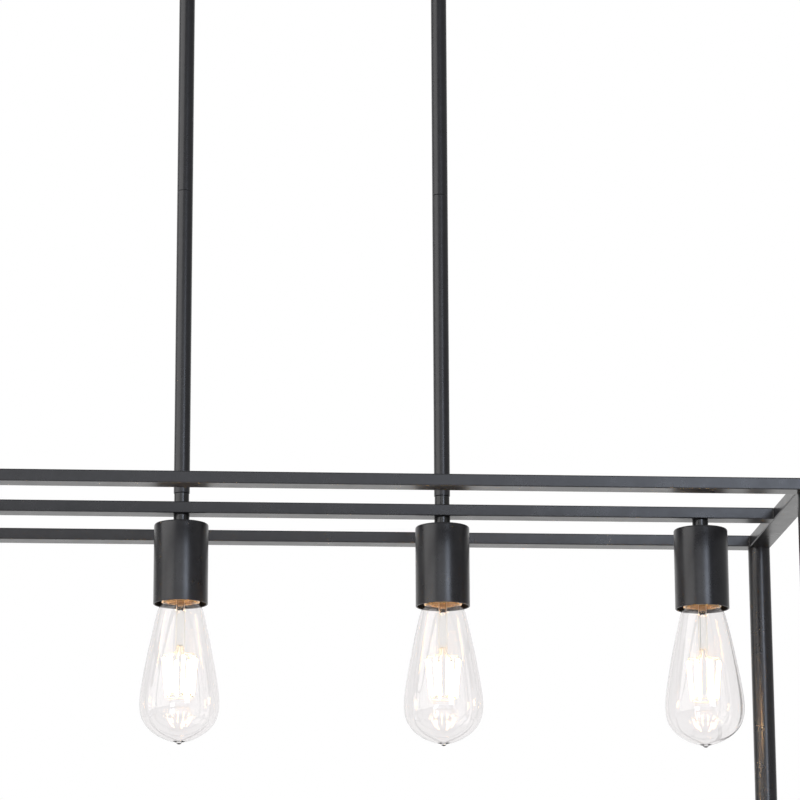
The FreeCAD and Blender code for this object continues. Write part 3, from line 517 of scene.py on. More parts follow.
def grow(tree, copied=None, **values):
    """Runs a tree on its own and returns the shape that it makes. copied is a shape to repeat."""
    host = bpy.data.objects.new("grower", bpy.data.meshes.new("grower"))
    scene.collection.objects.link(host)
    modifier = host.modifiers.new("grow", "NODES")
    modifier.node_group = tree
    sample = None
    if copied is not None:
        mesh = bpy.data.meshes.new("sample")
        mesh.from_pydata(copied[0], [], copied[1])
        sample = bpy.data.objects.new("sample", mesh)
        scene.collection.objects.link(sample)
        values["Copied"] = sample
    for item in tree.interface.items_tree:
        if item.in_out == "INPUT" and item.name in values:
            modifier[item.identifier] = values[item.name]
    graph = bpy.context.evaluated_depsgraph_get()
    shape = shape_of(bpy.data.meshes.new_from_object(host.evaluated_get(graph)))
    host.modifiers.clear()
    bpy.data.objects.remove(host)
    if sample is not None:
        bpy.data.objects.remove(sample)
    return shape


# %% Tree 1: copies round a circle


def make_ring_tree():
    tree, inputs = new_tree("ring_of_copies", {
        "Copied": ("Object", None), "Count": ("Int", 8), "Radius": ("Float", 0.01),
        "Material": ("Material", None)})
    circle = add(tree, "GeometryNodeMeshCircle", {"Vertices": inputs["Count"],
                                                  "Radius": inputs["Radius"]})
    outwards = add(tree, "FunctionNodeAlignRotationToVector",
                   {"Vector": add(tree, "GeometryNodeInputPosition").outputs[0]}, axis="X")
    source = add(tree, "GeometryNodeObjectInfo", {"Object": inputs["Copied"]})
    copies = add(tree, "GeometryNodeInstanceOnPoints",
                 {"Points": circle.outputs[0], "Instance": source.outputs["Geometry"],
                  "Rotation": outwards.outputs[0]})
    close_tree(tree, copies.outputs[0], inputs["Material"])
    return tree


ring_tree = make_ring_tree()
print("tree:", ring_tree.name)

# %% Tree 2: copies along a line
TWIST = 0.2
SMALLEST, LARGEST = 0.85, 1.1


def make_row_tree():
    """Copies in a row, twisted by up to TWIST radians and from SMALLEST to LARGEST in size."""
    tree, inputs = new_tree("row_of_copies", {
        "Copied": ("Object", None), "Count": ("Int", 8), "Start": ("Vector", (0, 0, 0)),
        "Step": ("Vector", (0, 0, 0.001)), "Seed": ("Int", 4), "Material": ("Material", None)})
    line = add(tree, "GeometryNodeMeshLine", {"Count": inputs["Count"], "Offset": inputs["Step"],
                                              "Start Location": inputs["Start"]})
    twist = add(tree, "FunctionNodeRandomValue", {0: [-TWIST] * 3, 1: [TWIST] * 3,
                                                  "Seed": inputs["Seed"]}, data_type="FLOAT_VECTOR")
    growth = add(tree, "FunctionNodeRandomValue", {2: SMALLEST, 3: LARGEST, "Seed": inputs["Seed"]})
    rotation = add(tree, "FunctionNodeEulerToRotation", {"Euler": twist.outputs[0]})
    source = add(tree, "GeometryNodeObjectInfo", {"Object": inputs["Copied"]})
    copies = add(tree, "GeometryNodeInstanceOnPoints",
                 {"Points": line.outputs[0], "Instance": source.outputs["Geometry"],
                  "Rotation": rotation.outputs[0], "Scale": growth.outputs[1]})
    close_tree(tree, copies.outputs[0], inputs["Material"])
    return tree


row_tree = make_row_tree()
print("tree:", row_tree.name)

# %% Tree 3: a screw thread
RUN_OUT = 1.2 * MM


def make_thread_tree():
    """A tube whose wall follows a right-hand thread. Both ends stay smooth for Plain, and from
    there the thread grows to its full depth over RUN_OUT."""
    tree, inputs = new_tree("screw_thread", {
        "Crest": ("Float", 0.013), "Depth": ("Float", 0.0005), "Pitch": ("Float", 0.0036),
        "Length": ("Float", 0.02), "Base": ("Float", 0.0), "Plain": ("Float", 0.003),
        "Around": ("Int", 65), "Rows": ("Int", 60), "Material": ("Material", None)})
    grid = add(tree, "GeometryNodeMeshGrid", {"Size X": 1.0, "Size Y": 1.0,
                                              "Vertices X": inputs["Around"],
                                              "Vertices Y": inputs["Rows"]})
    spot = add(tree, "ShaderNodeSeparateXYZ",
               {"Vector": add(tree, "GeometryNodeInputPosition").outputs[0]})
    angle = sum_up(tree, "MULTIPLY", sum_up(tree, "ADD", spot.outputs["X"], 0.5), 2 * math.pi)
    height = sum_up(tree, "MULTIPLY", sum_up(tree, "ADD", spot.outputs["Y"], 0.5), inputs["Length"])
    level = sum_up(tree, "ADD", height, inputs["Base"])
    climb = sum_up(tree, "MULTIPLY", sum_up(tree, "DIVIDE", level, inputs["Pitch"]), 2 * math.pi)
    wave = sum_up(tree, "COSINE", sum_up(tree, "SUBTRACT", climb, angle))
    sunk = sum_up(tree, "MULTIPLY", sum_up(tree, "SUBTRACT", 1.0, wave), 0.5)
    from_end = sum_up(tree, "MINIMUM", height, sum_up(tree, "SUBTRACT", inputs["Length"], height))
    fade = add(tree, "ShaderNodeMapRange",
               {"Value": from_end, "From Min": inputs["Plain"],
                "From Max": sum_up(tree, "ADD", inputs["Plain"], RUN_OUT)})
    groove = sum_up(tree, "MULTIPLY", sum_up(tree, "MULTIPLY", sunk, inputs["Depth"]),
                    fade.outputs["Result"])
    radius = sum_up(tree, "SUBTRACT", inputs["Crest"], groove)
    across = sum_up(tree, "MULTIPLY", radius, sum_up(tree, "COSINE", angle))
    along = sum_up(tree, "MULTIPLY", radius, sum_up(tree, "SINE", angle))
    goal = add(tree, "ShaderNodeCombineXYZ", {"X": across, "Y": along, "Z": level})
    bent = add(tree, "GeometryNodeSetPosition", {"Geometry": grid.outputs["Mesh"],
                                                 "Position": goal.outputs[0]})
    welded = add(tree, "GeometryNodeMergeByDistance", {"Geometry": bent.outputs[0],
                                                       "Distance": 1e-6})
    close_tree(tree, welded.outputs[0], inputs["Material"])
    return tree


thread_tree = make_thread_tree()
print("tree:", thread_tree.name)


def threaded_tube(crest, depth, pitch, base, length, wall, plain, around=64, rows_a_turn=10):
    """A closed threaded tube, in millimetres, whose inner skin lies a wall inside the outer one."""
    rows = round(length / pitch * rows_a_turn) + 1
    corners, faces = grow(thread_tree, Crest=crest * MM, Depth=depth * MM, Pitch=pitch * MM,
                          Base=base * MM, Length=length * MM, Plain=plain * MM,
                          Around=around + 1, Rows=rows)
    count = len(corners)
    inner = []
    for x, y, z in corners:
        share = 1 - wall * MM / math.hypot(x, y)
        inner.append((x * share, y * share, z))
    # A dict keeps the edges in their order, where a set would not. The open ends have edges that
    # only one face uses.
    edges = {pair: None for face in faces for pair in zip(face, face[1:] + face[:1])}
    rims = [[second, first, first + count, second + count] for first, second in edges
            if (second, first) not in edges]
    inside = [[index + count for index in face[::-1]] for face in faces]
    return corners + inner, faces + inside + rims


# %% [markdown]
# ## Lamp cups, necks and spacers
#
# Such a cup is usually deep-drawn from steel sheet, so its mouth ends in a soft edge and its closed
# end has a small radius. A short neck joins it to the rail, and a like collar sits between the rail
# and a stem. Lathe-turned parts have a fine bevel on their ends, which catches the light as a thin
# bright line, so these are spun anew with their bevels. They look glossier than the tube in the
# picture, and get the shinier coat.

# %% Spin the cups
CUP_WALL = 1.2
CUP_CORNER = 1.6
CUP_LIP = 0.45
HOLE_RADIUS = 4.85


def arc(centre, radius, start, end, steps=6):
    """Points of an arc, from start to end in degrees."""
    turns = [math.radians(start + (end - start) * step / steps) for step in range(steps + 1)]
    return [(centre[0] + radius * math.cos(turn), centre[1] + radius * math.sin(turn))
            for turn in turns]


def cup_outline(radius, height):
    """From the mouth's lip up the outside, through the hole in the top and down the inside."""
    inner = radius - CUP_WALL
    corner, lip = CUP_CORNER, CUP_LIP
    return (arc((radius - lip, lip), lip, -90, 0) + [(radius, height / 2)]
            + arc((radius - corner, height - corner), corner, 0, 90)
            + [(HOLE_RADIUS, height), (HOLE_RADIUS, height - CUP_WALL), (inner, height - CUP_WALL),
               (inner, lip)]
            + arc((inner + lip, lip), lip, 180, 270))


cup_low, cup_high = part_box("socket_cup_1")
cup_radius = (cup_high.x - cup_low.x) / 2 / MM
cup_height = (cup_high.z - cup_low.z) / MM
cup_shape = spin(cup_outline(cup_radius, cup_height), 96)
for lamp in LAMPS:
    add_piece(f"cup_{lamp}", [moved(cup_shape, lamp_x[lamp], 0, cup_low.z)], "hanging_frame",
              black_coat, [f"socket_cup_{lamp}"])

# %% Spin the necks and spacers
BEVEL = 0.25


def spin_collars(name, node, places):
    """Short tubes with bevelled ends, in place of a CAD node."""
    low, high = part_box(node)
    radius, height = (high.y - low.y) / 2 / MM, (high.z - low.z) / MM
    shape = spin([(HOLE_RADIUS, 0), (radius - BEVEL, 0), (radius, BEVEL), (radius, height - BEVEL),
                  (radius - BEVEL, height), (HOLE_RADIUS, height)], 64)
    add_piece(name, [moved(shape, x, 0, low.z) for x in places], "hanging_frame",
              black_gloss, [node], crease=25)


spin_collars("turned_necks", "cup_necks", lamp_x.values())
spin_collars("turned_spacers", "rail_spacers", (lamp_x[2], lamp_x[3]))

# %% [markdown]
# ## Lamp holders
#
# Inside each cup sits a glazed porcelain body. A threaded brass shell in its bore takes the bulb,
# and a spring contact at the top meets the bulb's tip. Only the porcelain's lower lip and the
# shell's edge show in the picture, but the whole holder appears once a bulb is out.

# %% Spin the porcelain
holder_height = (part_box("lamp_holders")[1].z - cap_edge) / MM
HOLDER_RADIUS, HOLDER_ROUND = 15.5, 1.0
BORE_RADIUS, LIP_ROUND = 14.0, 0.6
WEB_LOW, WEB_HIGH = 30.0, 34.0
WIRING_RADIUS, NECK_DEPTH = 10.0, 8.0


def holder_outline():
    """The body, with the bulb's bore below the web and the room for the wires above it."""
    lip, shoulder = LIP_ROUND, HOLDER_ROUND
    neck = holder_height - NECK_DEPTH
    return ([(0, WEB_HIGH), (WIRING_RADIUS, WEB_HIGH), (WIRING_RADIUS, neck), (HOLE_RADIUS, neck),
             (HOLE_RADIUS, holder_height)]
            + arc((HOLDER_RADIUS - shoulder, holder_height - shoulder), shoulder, 90, 0)
            + arc((HOLDER_RADIUS - lip, lip), lip, 0, -90)
            + arc((BORE_RADIUS + lip, lip), lip, 270, 180)
            + [(BORE_RADIUS, WEB_LOW), (0, WEB_LOW)])


holder_shape = spin(holder_outline(), 80)
add_piece("porcelain_holders", at_lamps(LAMPS, holder_shape), "hanging_frame",
          porcelain, ["lamp_holders"])

# %% Screw shells and spring contacts
PITCH, THREAD_DEPTH = 3.629, 0.55
CAP_CREST, SHELL_CREST = 13.0, 13.9
SHELL_WALL, SHELL_BASE, SHELL_PLAIN = 0.5, 0.5, 1.5
ROOF_RADIUS, ROOF_HOLE = 13.6, 8.0
TIP_LEVEL, TIP_GAP = 27.0, 0.3
CONTACT_RADIUS, RIVET_RADIUS, RIVET_TALL = 3.5, 1.2, 0.5

shell_tube = threaded_tube(SHELL_CREST, THREAD_DEPTH, PITCH, SHELL_BASE, WEB_LOW - SHELL_BASE,
                           SHELL_WALL, SHELL_PLAIN, around=72)
shell_roof = plain_disc(ROOF_RADIUS, WEB_LOW - SHELL_WALL, WEB_LOW, 72, ROOF_HOLE)
add_piece("threaded_shells", at_lamps(LAMPS, shell_tube, shell_roof), "hanging_frame",
          brass, ["screw_shells"])

contact_low = TIP_LEVEL + TIP_GAP
contact_disc = spin([(0, contact_low), (CONTACT_RADIUS - 1.3, contact_low),
                     (CONTACT_RADIUS - 0.2, contact_low + 0.5), (CONTACT_RADIUS, contact_low + 1.1),
                     (CONTACT_RADIUS, WEB_LOW), (0, WEB_LOW)], 40)
rivet = plain_disc(RIVET_RADIUS, contact_low + 0.1, contact_low + 0.1 + RIVET_TALL, 24)
add_piece("spring_contacts", at_lamps(LAMPS, contact_disc, rivet), "hanging_frame",
          brass, ["shell_contacts"])

# %% [markdown]
# ## Bulb caps and tips
#
# A bulb's cap is pressed from thin brass, and its thread is rolled in. The thread's rule is simple,
# so the thread tree grows it, in step with the shell's. Black glass closes the top round the
# centre contact, which is a drop of solder. Tan cement holds the bulb in the cap.

# %% Make the caps
CAP_WALL, CAP_PLAIN, CAP_STRAIGHT = 0.5, 2.6, 20.2
SHOULDER_RADIUS, SHOULDER_TALL = 9.6, 2.9
INSULATOR_TALL, DROP_WIDEST = 4.9, 4.75
CEMENT_RADIUS, CEMENT_BASE, CEMENT_TOP = 11.9, 0.4, 13.0

cap_tube = threaded_tube(CAP_CREST, THREAD_DEPTH, PITCH, 0.0, CAP_STRAIGHT, CAP_WALL, CAP_PLAIN,
                         around=72)
cap_shoulder = spin([(CAP_CREST, CAP_STRAIGHT - 0.1), (CAP_CREST - 0.4, CAP_STRAIGHT + 0.9),
                     (SHOULDER_RADIUS, CAP_STRAIGHT + SHOULDER_TALL),
                     (SHOULDER_RADIUS, CAP_STRAIGHT + SHOULDER_TALL - 0.5),
                     (CAP_CREST - 1.0, CAP_STRAIGHT + 0.4), (CAP_CREST - 0.6, CAP_STRAIGHT - 0.1)],
                    72)
cap_rim = spin([(CAP_CREST - 0.5, 0), (CAP_CREST - 0.25, 0), (CAP_CREST, 0.25), (CAP_CREST, 0.8),
                (CAP_CREST - 0.5, 0.8)], 72)
black_top = spin([(0, CAP_STRAIGHT + 1.6), (SHOULDER_RADIUS + 0.3, CAP_STRAIGHT + 1.6),
                  (SHOULDER_RADIUS + 0.1, CAP_STRAIGHT + 2.7), (7.2, CAP_STRAIGHT + 4.2),
                  (5.2, CAP_STRAIGHT + INSULATOR_TALL), (0, CAP_STRAIGHT + INSULATOR_TALL)], 48)
solder_tip = spin([(0, CAP_STRAIGHT + 4.8), (DROP_WIDEST - 0.05, CAP_STRAIGHT + 4.8),
                   (DROP_WIDEST, CAP_STRAIGHT + 5.3), (4.3, CAP_STRAIGHT + 6.1),
                   (2.8, CAP_STRAIGHT + 6.6), (0, TIP_LEVEL)], 40)
cement = spin([(0, CEMENT_TOP - 0.6), (CEMENT_RADIUS - 0.4, CEMENT_TOP - 0.6),
               (CEMENT_RADIUS - 0.4, CEMENT_BASE), (CEMENT_RADIUS + 0.55, CEMENT_BASE),
               (CEMENT_RADIUS + 0.55, CEMENT_BASE + 2.0), (CEMENT_RADIUS, CEMENT_BASE + 2.6),
               (CEMENT_RADIUS, CEMENT_TOP), (0, CEMENT_TOP)], 48)


def add_to_bulb(lamp, name, shapes, material, node=None, part=""):
    """Adds a piece to one bulb, in place of the bulb's CAD node where that is given. The bulb turns
    as it comes out, and its part _foot only slides."""
    add_piece(f"bulb_{lamp}_{name}", at_lamps([lamp], *shapes), f"bulb_{lamp}{part}",
              material, [f"bulb_{lamp}_{node}"] if node else ())


for lamp in LAMPS:
    add_to_bulb(lamp, "threaded_cap", [cap_tube, cap_shoulder, cap_rim], brass, "cap")
    add_to_bulb(lamp, "insulator", [black_top], cap_insulator)
    add_to_bulb(lamp, "cement", [cement], cement_paste)
    add_to_bulb(lamp, "solder", [solder_tip], solder, "tip", "_foot")

# %% [markdown]
# ## Blown glass
#
# The bulb is a teardrop: narrow at the cap, straight down its flank, widest low down and round
# below, with a sealed tip. Glass is drawn here as it is blown, as smooth pulls between a few
# places, so Bezier curves give the outline. The inner skin runs a wall's thickness inside, and both
# are one closed shell, because light must cross real glass to bend as it should.

# %% Spin the glass
NECK_RADIUS = 12.2
SHOULDER = (18.2, 6.0)
FLANK_PULL = (19.5, 9.6)
BELLY_RADIUS, BELLY_DROP = 32.0, 81.0
BELLY_PULL = 66.1
DOME_PULLS = (88.8, 106.0)
TIP_RADIUS, TIP_DROP, GLASS_END = 3.0, 113.4, 115.0
GLASS_WALL, TIP_WALL = 0.9, 2.1
THROAT_RADIUS, THROAT_BASE, THROAT_TOP = 11.45, 2.5, 12.0
SHOULDER_PULL = 0.6


def bezier(start, first, second, end, steps):
    """Points of a Bezier curve after its start, pulled towards first and second on its way."""
    points = []
    for step in range(1, steps + 1):
        t = step / steps
        weights = ((1 - t) ** 3, 3 * t * (1 - t) ** 2, 3 * t * t * (1 - t), t ** 3)
        points.append(tuple(sum(weight * place[axis] for weight, place in
                                zip(weights, (start, first, second, end))) for axis in (0, 1)))
    return points


def glass_side(inset, tip_drop, end_drop):
    """One skin of the glass from the cap's edge down to the axis, as (radius, drop)."""
    neck, shoulder = NECK_RADIUS - inset, SHOULDER[0] - inset
    flank, belly = FLANK_PULL[0] - inset, BELLY_RADIUS - inset
    above_shoulder = (shoulder - SHOULDER_PULL * (flank - shoulder),
                      SHOULDER[1] - SHOULDER_PULL * (FLANK_PULL[1] - SHOULDER[1]))
    places = [(neck, 0.0)]
    places += bezier(places[-1], (neck + (shoulder - neck) / 3, SHOULDER[1] / 10), above_shoulder,
                     (shoulder, SHOULDER[1]), 10)
    places += bezier(places[-1], (flank, FLANK_PULL[1]), (belly, BELLY_PULL),
                     (belly, BELLY_DROP), 20)
    places += bezier(places[-1], (belly, DOME_PULLS[0]), (belly, DOME_PULLS[1] - inset),
                     (TIP_RADIUS, tip_drop), 26)
    places += bezier(places[-1], (TIP_RADIUS * 0.75, tip_drop + (end_drop - tip_drop) / 8),
                     (TIP_RADIUS / 2, end_drop), (0.0, end_drop), 6)
    return [(radius if index < len(places) - 1 else 0, -drop)
            for index, (radius, drop) in enumerate(places)]


outer_skin = glass_side(0.0, TIP_DROP, GLASS_END)
inner_skin = glass_side(GLASS_WALL, TIP_DROP - GLASS_WALL, GLASS_END - TIP_WALL)
throat = [(THROAT_RADIUS, THROAT_BASE), (THROAT_RADIUS, THROAT_TOP),
          (THROAT_RADIUS - 1.0, THROAT_TOP), (THROAT_RADIUS - 1.0, THROAT_BASE)]
glass_shape = spin(outer_skin[::-1] + throat + inner_skin, 96)
for lamp in LAMPS:
    add_to_bulb(lamp, "blown_glass", [glass_shape], bulb_glass, "glass")

# %% [markdown]
# ## Filaments and their mount
#
# A glass rod stands in the neck, flared where it is melted to the bulb. Eight straight filaments
# lean inwards from a star of nickel wires at the rod's end to a small ring below. Each filament is
# a slim glowing rod with a bare metal tab at both ends. The ring tree repeats one filament and one
# wire eight times. The ring is turned by a quarter of the step between two filaments, so that from
# the front no filament stands right behind another.

# %% Make the mount
FLARE_TOP, FLARE_RADIUS = 10.0, 9.8
ROD_RADIUS, ROD_WAIST, ROD_DROP = 2.7, 2.4, 35.5

mount_shape = spin([(0, -ROD_DROP - 0.4)]
                   + arc((ROD_RADIUS - 1.0, -ROD_DROP + 0.6), 1.0, -90, 0)
                   + [(ROD_RADIUS, -ROD_DROP + 2.0), (ROD_WAIST, -ROD_DROP + 3.5), (ROD_WAIST, 3.0),
                      (ROD_WAIST + 0.8, 4.6), (5.0, 6.0), (FLARE_RADIUS - 1.5, 8.2),
                      (FLARE_RADIUS, FLARE_TOP), (FLARE_RADIUS - 0.9, FLARE_TOP),
                      (FLARE_RADIUS - 2.4, 8.4), (3.6, 6.4), (0, 5.6)], 48)
print("mount", len(mount_shape[1]), "faces")

# %% Make one filament, its tabs and its wires
TOP_RADIUS, TOP_DROP = 13.5, 43.5
END_RADIUS, END_DROP = 10.5, 76.0
FILAMENT_RADIUS = 1.3
TAB_LENGTH, TAB_RADIUS, TAB_OVERLAP = 1.7, 0.55, 0.3
STAR_WIRE, HOOK_WIRE = 0.24, 0.26

top_end = Vector((0, 0, -TOP_DROP))
low_end = Vector((END_RADIUS - TOP_RADIUS, 0, -END_DROP))
lean = (low_end - top_end).normalized()
whole = (low_end - top_end).length


def on_lean(distance):
    """A point on the filament's line, at a distance from its top end."""
    return top_end + lean * distance


def slim_rod(start, length, radius, sides=12):
    """A rod along the filament's lean with softly rounded ends, set by stations of (distance, share
    of the radius)."""
    stations = [(0.0, 0.45), (0.12, 0.85), (0.35, 1.0), (length / 2, 1.0), (length - 0.35, 1.0),
                (length - 0.12, 0.85), (length, 0.45)]
    rod = spin([(0, 0)] + [(radius * share, along) for along, share in stations] + [(0, length)],
               sides)
    return moved(rod, *(on_lean(start) * MM), lean.to_track_quat("Z", "X").to_matrix())


lit_shape = slim_rod(TAB_LENGTH, whole - 2 * TAB_LENGTH, FILAMENT_RADIUS)
tab_shapes = [slim_rod(start, TAB_LENGTH + TAB_OVERLAP, TAB_RADIUS, 8)
              for start in (0.0, whole - TAB_LENGTH - TAB_OVERLAP)]
star_wire = run_wire([(radius - TOP_RADIUS, 0, level) for radius, level in (
    (1.2, -ROD_DROP + 0.8), (2.6, -ROD_DROP - 1.0), (3.2, -ROD_DROP - 4.2),
    (4.4, -TOP_DROP + 2.0), (7.5, -TOP_DROP + 1.0), (12.7, -TOP_DROP + 0.7),
    (TOP_RADIUS, -TOP_DROP + 0.2))] + [on_lean(1.0)], STAR_WIRE)
end_hook = run_wire([on_lean(whole - 0.8), on_lean(whole),
                     (END_RADIUS - TOP_RADIUS - 0.7, 0, -END_DROP - 0.5)], HOOK_WIRE)
print("filament", round(whole, 1), "mm long")

# %% Grow the filaments of each bulb
FILAMENT_COUNT = 8
STAGGER = Matrix.Rotation(math.radians(11.25), 3, "Z")
RING_WIRE, LEAD_WIRE = 0.3, 0.28


def ring_of(shape):
    return moved(grow(ring_tree, copied=shape, Count=FILAMENT_COUNT, Radius=TOP_RADIUS * MM),
                 turn=STAGGER)


lit_ring = ring_of(lit_shape)
wires = [ring_of(shape) for shape in tab_shapes + [star_wire, end_hook]]
wires.append(spin(arc((END_RADIUS - 0.7, -END_DROP - 0.5), RING_WIRE, 0, 315, 7), 64))
wires += [run_wire([(side * across, out, drop) for across, out, drop in (
    (2.9, 0.4, 6.0), (3.1, 0.6, 0.0), (3.2, 0.9, -10.0), (3.3, 1.0, -24.0),
    (3.2, 0.8, -ROD_DROP - 0.2), (3.4, 0.4, -ROD_DROP - 1.4))], LEAD_WIRE) for side in (-1, 1)]
for lamp in LAMPS:
    add_to_bulb(lamp, "glass_rod", [mount_shape], mount_glass, "filament")
    add_to_bulb(lamp, "lit_filaments", [lit_ring], lit_filament)
    add_to_bulb(lamp, "wires", wires, wire_metal)

# %% [markdown]
# ## Weld beads
#
# The tubes are welded together, and most seams look flat, as they do when they are ground before
# the coat goes on. Where the middle rail and the corners meet in the open, a short upright bead is
# left, a row of small overlapping drops. The row tree lays them.

# %% Lay the weld beads
DROP_RADIUS = 1.15
BEAD_STEP, BEAD_INSET = 0.55, 0.8

drop_shape = spin([(0, -0.7), (0.9, -0.5), (DROP_RADIUS, -0.2), (DROP_RADIUS, 0.2), (0.9, 0.5),
                   (0, 0.7)], 16)
rail_low, rail_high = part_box("centre_rail")
inner_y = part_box("front_top_rail")[1].y
bead_length = (rail_high.z - rail_low.z) / MM - 2 * BEAD_INSET


def weld_bead(x, y, seed):
    return grow(row_tree, copied=drop_shape, Count=int(bead_length / BEAD_STEP) + 1,
                Start=(x, y, rail_low.z + BEAD_INSET * MM), Step=(0, 0, BEAD_STEP * MM), Seed=seed)


# Each bead has a seed of its own, so that no two are alike.
seams = {0: (rail_low.y, rail_high.y), 40: (inner_y, -inner_y)}
beads = [weld_bead(x, y, first_seed + 10 * end + side)
         for end, x in enumerate((rail_low.x, rail_high.x))
         for first_seed, pair in seams.items() for side, y in enumerate(pair)]
add_piece("weld_beads", beads, "hanging_frame", black_gloss)

# %% [markdown]
# ## Hardware in the canopy
#
# Four moulded wire nuts join the lamp's leads to the house wires. They have ribs for the fingers,
# and the ring tree sets them round the body. Two knurled nuts with a dome close the canopy from
# below, on studs whose thread the third tree cuts. Ribs and knurling stay a little inside the CAD
# model's skin. The green ground screw has a pan head with a slot.

# %% Mould the wire nuts
NUT_LENGTH, NUT_MOUTH, NUT_END = 18.0, 4.55, 3.1
NUT_RADIUS = 5.0
RIB_COUNT, RIB_TALL = 12, 0.42
ON_AXIS = 1e-6  # the ring's radius for a copied shape that already stands off the axis

nut_wall = spin([(0, 9.0), (2.45, 9.0), (2.5, 0.5), (2.8, 0.1), (NUT_MOUTH + 0.1, 0.0),
                 (NUT_MOUTH + 0.4, 0.35), (NUT_MOUTH + 0.35, 2.2), (NUT_MOUTH - 0.1, 2.7),
                 (NUT_END + 0.15, NUT_LENGTH - 1.4), (NUT_END - 0.6, NUT_LENGTH - 0.3),
                 (NUT_END - 1.4, NUT_LENGTH), (0, NUT_LENGTH)], 48)


def rib():
    """One finger rib along the cone, with its outer edge eased and both ends run out."""
    rings = []
    for along, skin, tall in ((3.0, NUT_MOUTH - 0.15, 0.05), (4.0, NUT_MOUTH - 0.22, RIB_TALL),
                              (15.4, NUT_END + 0.28, RIB_TALL), (16.4, NUT_END + 0.17, 0.05)):
        top = skin + tall
        rings.append([(skin - 0.5, -0.42, along), (top - 0.1, -0.36, along), (top, -0.2, along),
                      (top, 0.2, along), (top - 0.1, 0.36, along), (skin - 0.5, 0.42, along)])
    return loft(rings)


ribs = grow(ring_tree, copied=rib(), Count=RIB_COUNT, Radius=ON_AXIS)
nut_low, nut_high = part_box("wire_nuts")
nut_y = nut_high.y - NUT_RADIUS * MM
nut_z = (nut_low.z + nut_high.z) / 2
add_piece("moulded_wire_nuts",
          [moved(shape, side * nut_high.x, end * nut_y, nut_z,
                 Matrix.Rotation(math.radians(-90 * side), 3, "Y"))
           for side in (1, -1) for end in (1, -1) for shape in (nut_wall, ribs)],
          "ceiling_mount", wire_nut_plastic, ["wire_nuts"])

# %% Turn and knurl the domed nuts
DOME_RADIUS, SKIRT = 5.5, 5.0
DOME_BORE, DOME_BORE_DEPTH = 2.45, 6.7
KNURL_COUNT, KNURL_HALF = 36, 0.36

knurl_skin = DOME_RADIUS - 0.45
dome_nut = spin([(0, -DOME_BORE_DEPTH), (DOME_BORE, -DOME_BORE_DEPTH), (DOME_BORE, -0.3),
                 (DOME_BORE + 0.3, 0), (DOME_RADIUS - 0.6, 0), (DOME_RADIUS - 0.3, -0.3),
                 (DOME_RADIUS - 0.3, -SKIRT + 0.5), (DOME_RADIUS - 0.05, -SKIRT + 0.25)]
                + arc((0, -SKIRT), DOME_RADIUS, 0, -81, 9) + [(0, -SKIRT - DOME_RADIUS)], 64)
ridge = loft([[(knurl_skin, -KNURL_HALF, level), (DOME_RADIUS - 0.04, 0, level),
               (knurl_skin, KNURL_HALF, level)] for level in (-SKIRT + 0.5, -0.35)])
knurl = grow(ring_tree, copied=ridge, Count=KNURL_COUNT, Radius=ON_AXIS)
domes_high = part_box("canopy_cap_nuts")[1]
dome_x = domes_high.x - DOME_RADIUS * MM
add_piece("knurled_dome_nuts", [moved(shape, side * dome_x, 0, domes_high.z) for side in (-1, 1)
                                for shape in (dome_nut, knurl)],
          "ceiling_mount", black_gloss, ["canopy_cap_nuts"])

# %% Cut the threads of the studs
STUD_RADIUS, STUD_DEPTH, STUD_PITCH = 2.05, 0.26, 0.7
STUD_WALL, STUD_PLAIN = 1.7, 0.5
CORE_RADIUS, CORE_INSET = 0.9, 0.02

stud_low, stud_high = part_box("canopy_studs")
stud_length = (stud_high.z - stud_low.z) / MM
stud_thread = threaded_tube(STUD_RADIUS, STUD_DEPTH, STUD_PITCH, 0.0, stud_length, STUD_WALL,
                            STUD_PLAIN, around=20, rows_a_turn=6)
stud_core = plain_disc(CORE_RADIUS, CORE_INSET, stud_length - CORE_INSET, 20)
add_piece("threaded_studs", [moved(shape, side * dome_x, 0, stud_low.z) for side in (-1, 1)
                             for shape in (stud_thread, stud_core)],
          "ceiling_mount", zinc, ["canopy_studs"])

# %% Make the slotted ground screw
HEAD_RADIUS, HEAD_TALL, SLOT_HALF, SLOT_DEEP = 4.0, 3.0, 0.5, 1.3
SHANK_RADIUS, SHANK_LENGTH = 2.05, 2.0


def half_head(side):
    """One side of the screw's head beside the slot, with an eased top edge."""
    rings = []
    for radius, level in ((HEAD_RADIUS, SLOT_DEEP + 0.05), (HEAD_RADIUS, 0.9),
                          (HEAD_RADIUS - 0.35, 0.3), (HEAD_RADIUS - 1.1, 0)):
        reach = math.degrees(math.acos(SLOT_HALF / radius))
        rings.append([(side * x, side * y, level - HEAD_TALL)
                      for x, y in arc((0, 0), radius, -reach, reach, 12)])
    return loft(rings)


screw_low, screw_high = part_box("ground_screw")
screw_body = spin([(0, SLOT_DEEP - HEAD_TALL), (HEAD_RADIUS, SLOT_DEEP - HEAD_TALL),
                   (HEAD_RADIUS, -0.2), (HEAD_RADIUS - 0.2, 0), (SHANK_RADIUS, 0),
                   (SHANK_RADIUS, SHANK_LENGTH - 0.3), (SHANK_RADIUS - 0.3, SHANK_LENGTH),
                   (0, SHANK_LENGTH)], 40)
add_piece("slotted_ground_screw",
          [moved(shape, (screw_low.x + screw_high.x) / 2, 0, screw_low.z + HEAD_TALL * MM)
           for shape in (screw_body, half_head(1), half_head(-1))],
          "ceiling_mount", green_zinc, ["ground_screw"], 30)

# %% [markdown]
# ## Dress the CAD nodes
#
# Most of the metalwork is right as the CAD model has it and only needs its finish. Every node gets
# the material of its slot in the record, so no surface is left with a flat colour. The threads of
# the hidden tubes are finer than a picture shows, so a wave in the finish stands in for their
# ridges.

# %% Make the threaded finish
TUBE_PITCH = 0.94  # millimetres


